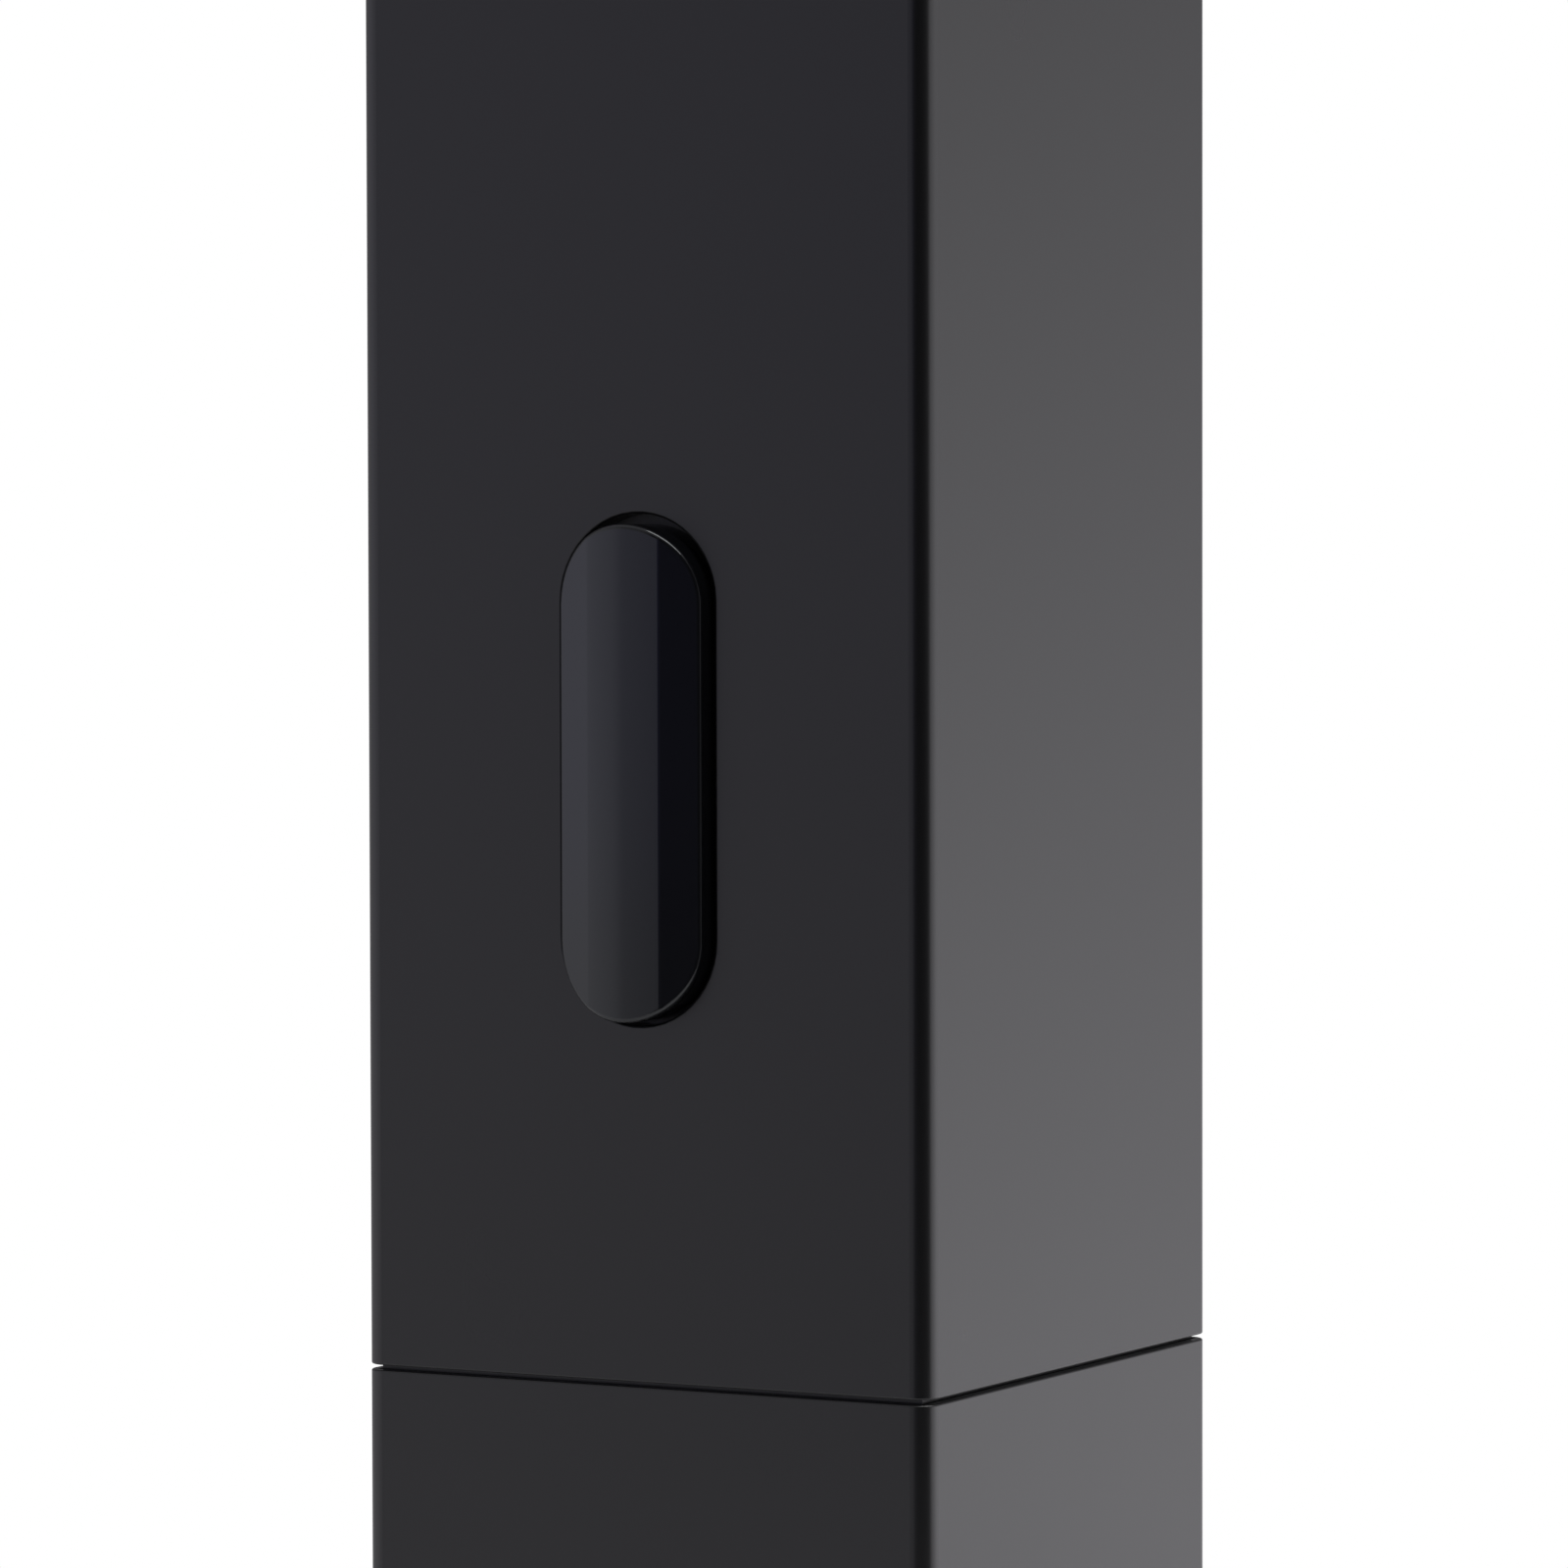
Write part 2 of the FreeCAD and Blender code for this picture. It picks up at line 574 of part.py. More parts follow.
def rounded_square_point(half, radius, fraction):
    """Point and outward normal at a fraction of the way round a rounded square."""
    straight = 2 * (half - radius)
    quarter = straight + radius * math.pi / 2
    corner, along = divmod(fraction * 4 * quarter, quarter)
    if along < straight:
        point = FreeCAD.Vector(half, along - straight / 2, 0)
        normal = FreeCAD.Vector(1, 0, 0)
    else:
        angle = (along - straight) / radius
        normal = FreeCAD.Vector(math.cos(angle), math.sin(angle), 0)
        point = FreeCAD.Vector(half - radius, half - radius, 0) + normal * radius
    turn = FreeCAD.Rotation(FreeCAD.Vector(0, 0, 1), 90 * corner)
    return turn.multVec(point), turn.multVec(normal)


def pleat_outline(shift):
    """A closed zigzag round the cartridge, moved in or out by a shift."""
    depth = value("pleat_depth")
    half = value("media_size") / 2 - depth / 2
    radius = value("media_radius") - depth / 2
    folds = 2 * int(value("pleat_count"))
    points = []
    for fold in range(folds):
        point, normal = rounded_square_point(half, radius, fold / folds)
        out = (depth - value("paper_step")) / 2
        points.append(point + normal * ((out if fold % 2 else -out) + shift))
    return Part.Face(Part.makePolygon(points + points[:1]))


def filter_media():
    """The pleated paper ring between the two caps."""
    step = value("paper_step") / 2
    ring = pleat_outline(step).cut(pleat_outline(-step))
    bottom = value("cartridge_bottom") + value("cap_plate")
    top = value("cartridge_top") - value("cap_plate")
    paper = doc.addObject("Part::Feature", "filter_media")
    paper.Shape = ring.extrude(FreeCAD.Vector(0, 0, top - bottom))
    paper.Placement = FreeCAD.Placement(FreeCAD.Vector(0, 0, bottom), FreeCAD.Rotation())
    node(paper, "filter_media")


def filter_caps():
    """Two moulded end caps: the lower one is closed, the upper one lets the clean air out."""
    inside = "dims.cartridge_size - 2 * dims.cap_rim"
    for label, plate_low, well_low, well_top in (
        ("filter_bottom_cap", "dims.cartridge_bottom", "dims.cartridge_bottom + dims.cap_plate",
         "dims.cartridge_bottom + dims.cap_depth + 1"),
        ("filter_top_cap", "dims.cartridge_top - dims.cap_depth", "dims.cartridge_top - dims.cap_depth - 1",
         "dims.cartridge_top - dims.cap_plate"),
    ):
        body = new_body(label)
        square_pad(body, label + "_outline", "dims.cartridge_size", plate_low, f"{plate_low} + dims.cap_depth",
                   "dims.cartridge_radius")
        square_hole(body, label + "_well", inside, well_low, well_top, "dims.cartridge_radius - dims.cap_rim")
    square_hole(body, "air_opening", "dims.core_hole", "dims.cartridge_top - 3", "dims.cartridge_top + 1", "3")


def square_ring(label, size, hole, bottom, top, radius, hole_radius):
    """A square tube or gasket with rounded corners."""
    body = new_body(label)
    square_pad(body, label + "_outline", size, bottom, top, radius)
    square_hole(body, label + "_hole", hole, f"{bottom} - 1", f"{top} + 1", hole_radius)


# ---------------------------------------------------------------- main unit structure

def main_housing():
    """The tall casing: a square tube with a skirt, the button pocket, the socket hole and the grille's ledge."""
    body = new_body("main_housing")
    outer = square_pad(body, "housing_outline", "dims.side", "dims.housing_bottom", "dims.total_height",
                       "dims.edge_radius")
    half = value("side") / 2
    lower = fillet(body, level_edges(outer, value("housing_bottom"), half), "dims.seam_radius")
    fillet(body, level_edges(lower, value("total_height"), half), "dims.rim_radius")
    square_pad(body, "skirt_outline", "dims.skirt_size", "dims.skirt_bottom", "dims.housing_bottom + 1")
    square_hole(body, "housing_cavity", INSIDE, "dims.skirt_bottom - 1", "dims.ledge_bottom")
    square_hole(body, "ledge_hole", "dims.ledge_opening", "dims.housing_bottom", "dims.total_height + 1")
    square_hole(body, "grille_seat", INSIDE, "dims.grille_bottom", "dims.total_height + 1")
    bosses = four_circles(body, "housing_bosses", "dims.boss_radius", "dims.boss_across", "dims.boss_along",
                          "dims.bulkhead_top")
    pad(body, bosses, "dims.boss_top - dims.bulkhead_top")
    webs = sketch_on(body, "boss_webs", "XY_Plane", "dims.bulkhead_top")
    reach = f"({INNER} + 0.2 - dims.boss_across)"
    for side_x, side_y in CORNERS:
        rectangle(webs, reach, "2 * dims.boss_radius", f"{side_x} * (dims.boss_across + {reach} / 2)",
                  f"{side_y} * dims.boss_along")
    pad(body, webs, "dims.boss_top - dims.bulkhead_top")
    corner_holes(body, "boss_holes", "dims.screw_radius + dims.screw_play", "dims.boss_across",
                 "dims.boss_along", "dims.bulkhead_top - 1", "dims.boss_top - 1")
    window = sketch_on(body, "button_pocket", "XZ_Plane", f"{HALF} + 1")
    stadium(window, "dims.pocket_length", "dims.pocket_width", 0, "dims.pocket_height")
    pocket(body, window, "dims.wall + 1.5")
    socket = sketch_on(body, "socket_hole", "XZ_Plane", f"-({HALF} + 1)")
    stadium(socket, "dims.usb_width + 2 * dims.usb_hole_play", "dims.usb_thickness + 2 * dims.usb_hole_play",
            0, "dims.usb_height", upright=False)
    opening = pocket(body, socket, "dims.wall + 1.5", forward=True)

    def rim(face_y):
        def on_face(box):
            flat = abs(box.YMin - face_y) < 1e-4 and abs(box.YMax - face_y) < 1e-4
            return flat and abs(box.XMin) < 10 and abs(box.XMax) < 10
        return on_face
    rounded = fillet(body, edges_where(opening, rim(-half)), "dims.pocket_radius")
    fillet(body, edges_where(rounded, rim(half)), "0.3")


DUCT_MIDDLE = "(dims.duct_rear - dims.duct_front) / 2"
DUCT_DEPTH = "(dims.duct_rear + dims.duct_front)"
DUCT_FOOT = "(dims.bulkhead_top - dims.duct_recess)"
GUARD_FIRST = "-dims.guard_pitch * (dims.guard_count - 1) / 2"
GUARD_LENGTH = f"({DUCT_DEPTH} - dims.duct_wall)"
STANDOFF_PLACES = [f"{side_x} * dims.standoff_across" for side_x in (-1, 1)]


def bulkhead():
    """The main unit's floor: an air opening under the duct, notches for the guard bars and holes for standoffs."""
    body = new_body("bulkhead")
    square_pad(body, "bulkhead_outline", "dims.bulkhead_size", "dims.bulkhead_bottom", "dims.bulkhead_top", "0.8")
    recess = sketch_on(body, "duct_seat", "XY_Plane", DUCT_FOOT)
    rectangle(recess, "dims.duct_width + 2 * dims.duct_play", f"{DUCT_DEPTH} + 2 * dims.duct_play", 0, DUCT_MIDDLE)
    pocket(body, recess, "dims.duct_recess + 1", forward=True)
    inlet = sketch_on(body, "air_inlet", "XY_Plane", "dims.bulkhead_bottom - 1")
    rectangle(inlet, "dims.inlet_width", "dims.inlet_depth", 0, DUCT_MIDDLE)
    pocket(body, inlet, "dims.bulkhead_top - dims.bulkhead_bottom + 2", forward=True)
    notch = sketch_on(body, "guard_notch", "XY_Plane", f"{DUCT_FOOT} - dims.guard_bar")
    rectangle(notch, "dims.guard_bar + 2 * dims.guard_play", f"{GUARD_LENGTH} + 2 * dims.guard_play", GUARD_FIRST,
              DUCT_MIDDLE)
    opening = pocket(body, notch, "dims.guard_bar + 1", forward=True)
    pattern(body, opening, notch, "H_Axis", "dims.guard_pitch * (dims.guard_count - 1)", "dims.guard_count")
    roots = sketch_on(body, "standoff_roots", "XY_Plane", "dims.bulkhead_top - dims.standoff_root - 0.1")
    for across in STANDOFF_PLACES:
        circle(roots, "dims.standoff_root_radius", across, "dims.standoff_along")
    pocket(body, roots, "dims.standoff_root + 1", forward=True)
    corner_holes(body, "upper_magnet_seats", "dims.magnet_radius + dims.magnet_play", "dims.post_reach",
                 "dims.post_reach", "dims.bulkhead_bottom - 1", "dims.bulkhead_bottom + dims.magnet_height")
    corner_holes(body, "bulkhead_holes", "dims.screw_radius + dims.screw_play", "dims.boss_across",
                 "dims.boss_along", "dims.bulkhead_bottom - 1", "dims.bulkhead_top + 1")
    corner_holes(body, "bulkhead_recesses", "dims.screw_head + dims.screw_play", "dims.boss_across",
                 "dims.boss_along", "dims.bulkhead_bottom - 1", "dims.bulkhead_bottom + dims.screw_head_height + 0.1")


def intake_guard():
    """Square bars across the air opening, laid in the bulkhead's notches and held down by the duct."""
    bars = []
    for index in range(int(value("guard_count"))):
        bars.append(block(f"guard_bar_{index}", "dims.guard_bar", GUARD_LENGTH, "dims.guard_bar",
                          f"({GUARD_FIRST} + {index} * dims.guard_pitch)", DUCT_MIDDLE,
                          f"{DUCT_FOOT} - dims.guard_bar"))
    node(group("intake_guard", bars), "intake_guard")


def usb_standoffs():
    """Two turned standoffs pressed into the bulkhead, each with a hole for the USB board's screw."""
    pieces = []
    for index, across in enumerate(STANDOFF_PLACES):
        post = rod(f"standoff_{index}", "dims.standoff_radius", "dims.standoff_height", across,
                   "dims.standoff_along", "dims.bulkhead_top")
        root = rod(f"standoff_root_{index}", "dims.standoff_root_radius", "dims.standoff_root + 0.5", across,
                   "dims.standoff_along", "dims.bulkhead_top - dims.standoff_root")
        bore = rod(f"standoff_bore_{index}", "dims.small_screw_radius + dims.screw_play",
                   "dims.standoff_height + 1", across, "dims.standoff_along", "dims.bulkhead_top + 0.5")
        pieces.append(cut(f"standoff_part_{index}", fuse(f"standoff_blank_{index}", post, root), bore))
    node(group("usb_standoffs", pieces), "usb_standoffs")


def housing_screws():
    """Four screws that fix the bulkhead to the housing's bosses."""
    pieces = []
    for index, (side_x, side_y) in enumerate(CORNERS):
        x, y = f"{side_x} * dims.boss_across", f"{side_y} * dims.boss_along"
        pieces.append(screw(f"housing_screw_{index}", "8.5", x, y, "dims.bulkhead_bottom + 0.1"))
    node(group("housing_screws", pieces), "housing_screws")


def air_duct():
    """The inner frame: a duct up the middle, a plenum that carries the fan, board bosses and a battery shelf."""
    body = new_body("air_duct")
    tube = sketch_on(body, "duct_outline", "XY_Plane", DUCT_FOOT)
    rectangle(tube, "dims.duct_width", DUCT_DEPTH, 0, DUCT_MIDDLE)
    pad(body, tube, f"dims.plenum_bottom + 0.5 - {DUCT_FOOT}")
    square_pad(body, "plenum_outline", "dims.plenum_size", "dims.plenum_bottom", "dims.plenum_top")
    shelf = sketch_on(body, "battery_shelf", "XY_Plane", "dims.cell_bottom - 2")
    rectangle(shelf, "dims.cell_width + 0.8", "8.3", 0, "dims.duct_rear + 3.65")
    pad(body, shelf, "2")
    bosses = sketch_on(body, "board_bosses", "XZ_Plane", "dims.duct_front - 0.5")
    holes = []
    for side_x in (-1, 1):
        for height in ("dims.board_screw_low", "dims.board_screw_high"):
            holes.append((f"{side_x} * dims.board_screw_reach", height))
    for across, up in holes:
        circle(bosses, "1.8", across, up)
    pad(body, bosses, "dims.board_front - dims.board_thickness - dims.duct_front + 0.5")
    pilots = sketch_on(body, "board_pilots", "XZ_Plane", "dims.board_front")
    for across, up in holes:
        circle(pilots, "dims.small_screw_radius + dims.screw_play", across, up)
    pocket(body, pilots, "dims.board_front - dims.duct_front + 0.3")
    bore = sketch_on(body, "duct_bore", "XY_Plane", f"{DUCT_FOOT} - 1")
    rectangle(bore, "dims.duct_width - 2 * dims.duct_wall", f"{DUCT_DEPTH} - 2 * dims.duct_wall", 0, DUCT_MIDDLE)
    pocket(body, bore, "dims.plenum_top - dims.bulkhead_top", forward=True)
    chamber = sketch_on(body, "plenum_chamber", "XY_Plane", "dims.plenum_floor")
    circle(chamber, "dims.plenum_bore")
    pocket(body, chamber, "20", forward=True)
    corner_holes(body, "fan_pilots", "dims.fan_screw_radius + dims.screw_play", "dims.fan_hole_reach",
                 "dims.fan_hole_reach", "dims.fan_screw_tip - 0.5", "dims.plenum_top + 1")
    notch = sketch_on(body, "lead_notch", "XY_Plane", "dims.plenum_bottom - 1")
    rectangle(notch, "4", "3", "-7", "-dims.plenum_size / 2")
    pocket(body, notch, "20", forward=True)


def outlet_grille():
    """The slotted plate that drops into the open top, with a stiffening rib under the slats."""
    body = new_body("outlet_grille")
    plate = square_pad(body, "grille_outline", "dims.grille_size", "dims.grille_bottom", "dims.grille_top", "0.9")
    fillet(body, level_edges(plate, value("grille_top"), value("grille_size") / 2), "0.3")
    vent = sketch_on(body, "vent_slot", "XY_Plane", "dims.grille_bottom - 1")
    stadium(vent, "dims.vent_length", "dims.vent_width", "-dims.vent_pitch * (dims.vent_count - 1) / 2", 0)
    opening = pocket(body, vent, "dims.grille_top - dims.grille_bottom + 2", forward=True)
    pattern(body, opening, vent, "H_Axis", "dims.vent_pitch * (dims.vent_count - 1)", "dims.vent_count")
    rib = sketch_on(body, "grille_rib", "XY_Plane", "dims.grille_bottom + 0.8")
    rectangle(rib, "dims.ledge_opening - 0.4", "1.6")
    pad(body, rib, "2", back=True)


# ---------------------------------------------------------------- fan

def fan_gasket():
    """The soft frame between the plenum and the fan."""
    plate = block("gasket_plate", "dims.fan_size", "dims.fan_size", "dims.fan_bottom - dims.plenum_top",
                  0, 0, "dims.plenum_top")
    tools = [rod("gasket_bore", "dims.fan_bore - 0.1", "4", 0, 0, "dims.plenum_top - 2")]
    for index, (side_x, side_y) in enumerate(CORNERS):
        tools.append(rod(f"gasket_hole_{index}", "dims.fan_hole", "4", f"{side_x} * dims.fan_hole_reach",
                         f"{side_y} * dims.fan_hole_reach", "dims.plenum_top - 2"))
    tools.append(block("gasket_notch", "4", "2.4", "4", "-7", "-dims.fan_size / 2", "dims.plenum_top - 2"))
    node(cut("gasket", plate, *tools), "fan_gasket")


def fan_frame():
    """The fan's square frame: a round bore, four struts, the motor's disc and its bearing tube."""
    body = new_body("fan_frame")
    top = "dims.fan_bottom + dims.fan_height"
    square_pad(body, "frame_outline", "dims.fan_size", "dims.fan_bottom", top, "2.5")
    bore = sketch_on(body, "frame_bore", "XY_Plane", "dims.fan_bottom - 1")
    circle(bore, "dims.fan_bore")
    pocket(body, bore, "dims.fan_height + 2", forward=True)
    struts = sketch_on(body, "struts", "XY_Plane", f"{top} - 1.5")
    rectangle(struts, "2 * dims.fan_bore + 0.6", "1.8")
    pad(body, struts, "1.5")
    crossing = sketch_on(body, "crossing_struts", "XY_Plane", f"{top} - 1.5")
    rectangle(crossing, "1.8", "2 * dims.fan_bore + 0.6")
    pad(body, crossing, "1.5")
    disc = sketch_on(body, "motor_disc", "XY_Plane", f"{top} - 1.5")
    circle(disc, "dims.hub_radius - 0.1")
    pad(body, disc, "1.5")
    tube = sketch_on(body, "bearing_tube", "XY_Plane", f"{top} - 1")
    circle(tube, "dims.tube_radius")
    pad(body, tube, "5.3", back=True)
    seat = sketch_on(body, "bearing_seat", "XY_Plane", "dims.fan_bottom")
    circle(seat, "dims.bearing_radius")
    pocket(body, seat, "dims.fan_height - 1.5", forward=True)
    corner_holes(body, "frame_holes", "dims.fan_hole", "dims.fan_hole_reach", "dims.fan_hole_reach",
                 "dims.fan_bottom - 1", f"{top} + 1")
    notch = sketch_on(body, "frame_notch", "XY_Plane", "dims.fan_bottom - 1")
    rectangle(notch, "4", "2", "-7", "-dims.fan_size / 2")
    pocket(body, notch, "7", forward=True)


def fan_screws():
    """Four long screws through the fan into the plenum."""
    pieces = []
    top = "dims.fan_bottom + dims.fan_height"
    for index, (side_x, side_y) in enumerate(CORNERS):
        x, y = f"{side_x} * dims.fan_hole_reach", f"{side_y} * dims.fan_hole_reach"
        head = rod(f"fan_screw_head_{index}", "2.6", "1.8", x, y, top)
        shank = rod(f"fan_screw_shank_{index}", "dims.fan_screw_radius", f"{top} + 0.5 - dims.fan_screw_tip",
                    x, y, "dims.fan_screw_tip")
        cross = [block(f"fan_screw_slot_{index}_{turn}", *size, "1", x, y, f"{top} + 0.9")
                 for turn, size in enumerate((("3", "0.7"), ("0.7", "3")))]
        pieces.append(cut(f"fan_screw_{index}", fuse(f"fan_screw_blank_{index}", head, shank), *cross))
    node(group("fan_screws", pieces), "fan_screws")


def fan_motor():
    """The still half of the motor: sleeve bearing, four-pole stator and its ring board."""
    sleeve = rod("sleeve", "dims.bearing_radius", "4.6", 0, 0, "dims.rotor_bottom + 2.8")
    sleeve_bore = rod("sleeve_bore", "dims.shaft_radius + dims.bearing_play", "8", 0, 0, "dims.rotor_bottom + 1")
    node(cut("bearing_sleeve", sleeve, sleeve_bore), "fan_bearing")
    low, height = "dims.rotor_bottom + 3.1", "3.5"
    tools = [rod("stator_hole", "dims.tube_radius + 0.05", "8", 0, 0, f"{low} - 1")]
    for index, (side_x, side_y) in enumerate(CORNERS):
        tools.append(rod(f"coil_window_{index}", "2.6", "8", f"{side_x} * 4.9", f"{side_y} * 4.9", f"{low} - 1"))
    node(cut("stator", rod("stator_disc", "8.2", height, 0, 0, low), *tools), "fan_stator")
    ring = rod("board_ring", "8.8", "0.6", 0, 0, "dims.rotor_top + 0.1")
    ring_hole = rod("board_ring_hole", "dims.tube_radius + 0.05", "4", 0, 0, "dims.rotor_top - 1")
    node(cut("motor_board", ring, ring_hole), "fan_board")


def blade(index):
    """One rotor blade: a radial bar that turns as it rises."""
    low, high = value("rotor_bottom") + 0.2, value("rotor_top") - 0.3
    width = value("blade_thickness") / math.sin(math.radians(35))
    inner, outer = value("hub_radius") - 0.4, value("blade_tip") + 2
    sections = []
    steps = 4
    for step in range(steps + 1):
        share = step / steps
        corners = [FreeCAD.Vector(across, along, 0) for across, along in
                   ((inner, -width / 2), (outer, -width / 2), (outer, width / 2), (inner, width / 2))]
        wire = Part.makePolygon(corners + corners[:1])
        angle = value("blade_sweep") * share + 360 / value("blade_count") * index
        turn = FreeCAD.Rotation(FreeCAD.Vector(0, 0, 1), angle)
        wire.Placement = FreeCAD.Placement(FreeCAD.Vector(0, 0, low + (high - low) * share), turn)
        sections.append(wire)
    ring = Part.makeCylinder(value("blade_tip"), 20, FreeCAD.Vector(0, 0, low - 5))
    return Part.makeLoft(sections, True, False).common(ring)


def fan_rotor():
    """The turning half: a cup with blades, a ring magnet inside its skirt and the shaft."""
    cup = cut("hub_cup", rod("hub", "dims.hub_radius", "dims.rotor_top - dims.rotor_bottom", 0, 0,
                             "dims.rotor_bottom"),
              rod("hub_hollow", "dims.hub_radius - dims.hub_wall", "10", 0, 0, "dims.rotor_bottom + 1.2"))
    boss = rod("hub_boss", "2.2", "1.6", 0, 0, "dims.rotor_bottom + 1")
    blades = []
    for index in range(int(value("blade_count"))):
        one = doc.addObject("Part::Feature", f"blade_{index}")
        one.Shape = blade(index)
        blades.append(one)
    whole = fuse("rotor_blank", cup, boss, *blades)
    bore = rod("hub_bore", "dims.shaft_radius", "5", 0, 0, "dims.rotor_bottom + 0.4")
    node(cut("rotor", whole, bore), "fan_rotor")
    magnet = rod("ring_magnet", "dims.hub_radius - dims.hub_wall - 0.03", "4.8", 0, 0, "dims.rotor_bottom + 1.7")
    magnet_bore = rod("ring_magnet_bore", "8.7", "10", 0, 0, "dims.rotor_bottom")
    node(cut("rotor_ring", magnet, magnet_bore), "rotor_magnet")
    node(rod("shaft", "dims.shaft_radius", "6.8", 0, 0, "dims.rotor_bottom + 0.4"), "fan_shaft")


# ---------------------------------------------------------------- power button

FLANGE_FRONT = f"({INNER} - dims.flange_gap)"
FLANGE_BACK = f"({FLANGE_FRONT} - dims.flange_thickness)"
PLUNGER_TIP = "(dims.board_front + dims.plunger_reach)"


def button_cap():
    """The long pill: a crowned middle with sloping sides, straight along its length, and a hollow back."""
    body = new_body("button_cap")
    outline = sketch_on(body, "cap_outline", "XZ_Plane", FLANGE_FRONT)
    stadium(outline, "dims.button_length", "dims.button_width", 0, "dims.button_height")
    pad(body, outline, f"{HALF} + dims.button_proud - {FLANGE_FRONT}")
    trim = sketch_on(body, "cap_section", "XY_Plane", "dims.button_height")
    face, crest = value("side") / 2, value("side") / 2 + value("button_proud")
    brow = crest - value("button_crown")
    shoulder = face + value("button_shoulder")
    reach, edge, clear = value("button_crest"), value("button_width") / 2, value("button_width")
    slope = (brow - shoulder) / (edge - reach)
    low = shoulder - slope * (clear - edge)
    vector = FreeCAD.Vector
    crown = Part.Arc(vector(-reach, -brow, 0), vector(0, -crest, 0), vector(reach, -brow, 0))
    outline_points = [vector(reach, -brow, 0), vector(clear, -low, 0), vector(clear, -crest - 3, 0),
                      vector(-clear, -crest - 3, 0), vector(-clear, -low, 0), vector(-reach, -brow, 0)]
    trim.addGeometry(crown, False)
    for start, end in zip(outline_points, outline_points[1:]):
        trim.addGeometry(Part.LineSegment(start, end), False)
    trim.addConstraint(Sketcher.Constraint("Coincident", 0, 2, 1, 1))
    for index in range(1, 5):
        trim.addConstraint(Sketcher.Constraint("Coincident", index, 2, index + 1, 1))
    trim.addConstraint(Sketcher.Constraint("Coincident", 5, 2, 0, 1))
    doc.recompute()
    trimmed = pocket(body, trim, "dims.button_length + 4", both_ways=True)

    def runs_along(box):
        return box.XLength < 1e-3 and box.YLength < 1e-3

    def crest_edge(box):
        return runs_along(box) and abs(abs(box.XMin) - reach) < 1e-3 and abs(box.YMin + brow) < 1e-3
    softened = fillet(body, edges_where(trimmed, crest_edge), "dims.crest_radius")

    def outer_edge(box):
        inner_line = runs_along(box) and abs(box.XMin) < edge - 0.01
        return box.YMax < -shoulder + 0.05 and not inner_line
    fillet(body, edges_where(softened, outer_edge), "dims.button_edge")
    hollow = sketch_on(body, "cap_hollow", "XZ_Plane", FLANGE_FRONT)
    stadium(hollow, "dims.button_length - 3.8", "dims.button_width - 3.8", 0, "dims.button_height")
    pocket(body, hollow, "1.7", forward=True)


def button_carrier():
    """The carrier behind the cap: a flange that keeps it in, a plug, a stem for the switch and two spring pegs."""
    body = new_body("button_carrier")
    flange = sketch_on(body, "flange_outline", "XZ_Plane", FLANGE_BACK)
    stadium(flange, "dims.pocket_length + dims.flange_lip", "dims.pocket_width + dims.flange_lip", 0,
            "dims.button_height")
    pad(body, flange, "dims.flange_thickness")
    plug = sketch_on(body, "plug_outline", "XZ_Plane", FLANGE_FRONT)
    stadium(plug, "dims.button_length - 3.9", "dims.button_width - 3.9", 0, "dims.button_height")
    pad(body, plug, "1.6")
    stem = sketch_on(body, "stem_outline", "XZ_Plane", FLANGE_BACK)
    circle(stem, "1.5", 0, "dims.button_height")
    pad(body, stem, f"{FLANGE_BACK} - {PLUNGER_TIP}", back=True)
    pegs = sketch_on(body, "peg_outlines", "XZ_Plane", FLANGE_BACK)
    for side_z in (-1, 1):
        circle(pegs, "0.7", 0, f"dims.button_height + {side_z} * 12")
    pad(body, pegs, "1", back=True)


def button_springs():
    """Two light coil springs between the board and the carrier, of six-sided wire."""
    wire_radius, coil_radius, turns = 0.2, 1.25, 4
    board = value("board_front")
    flange = value("side") / 2 - value("wall") - value("flange_gap") - value("flange_thickness")
    length = flange - board - 2 * wire_radius - 0.04
    corners = [FreeCAD.Vector(coil_radius + wire_radius * math.cos(angle), 0, wire_radius * math.sin(angle))
               for angle in (step * math.pi / 3 for step in range(6))]
    section = Part.makePolygon(corners + corners[:1])
    helix = Part.makeHelix(length / turns, length, coil_radius)
    pieces = []
    for index, side_z in enumerate((-1, 1)):
        spring = doc.addObject("Part::Feature", f"spring_{index}")
        spring.Shape = Part.Wire(helix).makePipeShell([section], True, True)
        turn = FreeCAD.Rotation(FreeCAD.Vector(1, 0, 0), 90)
        middle = value("button_height") + side_z * 12
        spring.Placement = FreeCAD.Placement(FreeCAD.Vector(0, -board - wire_radius - 0.02, middle), turn)
        pieces.append(spring)
    node(group("button_springs", pieces), "button_springs")


def tact_switch():
    """The switch on the board and the plunger that the button pushes."""
    front = "dims.board_front"
    case = block("switch_case", "6", "3.3", "6", 0, f"-({front} + 1.65)", "dims.button_height - 3")
    well = rod("switch_well", "1.8", "4", 0, f"-({front} + 0.9)", "dims.button_height", TO_FRONT)
    node(cut("switch", case, well), "tact_switch")
    plunger = rod("plunger", "1.7", f"{PLUNGER_TIP} - {front} - 1.7", 0, f"-({front} + 1.7)",
                  "dims.button_height", TO_FRONT)
    node(plunger, "switch_plunger")


# ---------------------------------------------------------------- electronics

def on_board(name, width, rise, height, x, z):
    """A part that stands on the main board's front face, its lower end at z."""
    return block(name, width, rise, height, x, f"-(dims.board_front + ({rise}) / 2)", z)


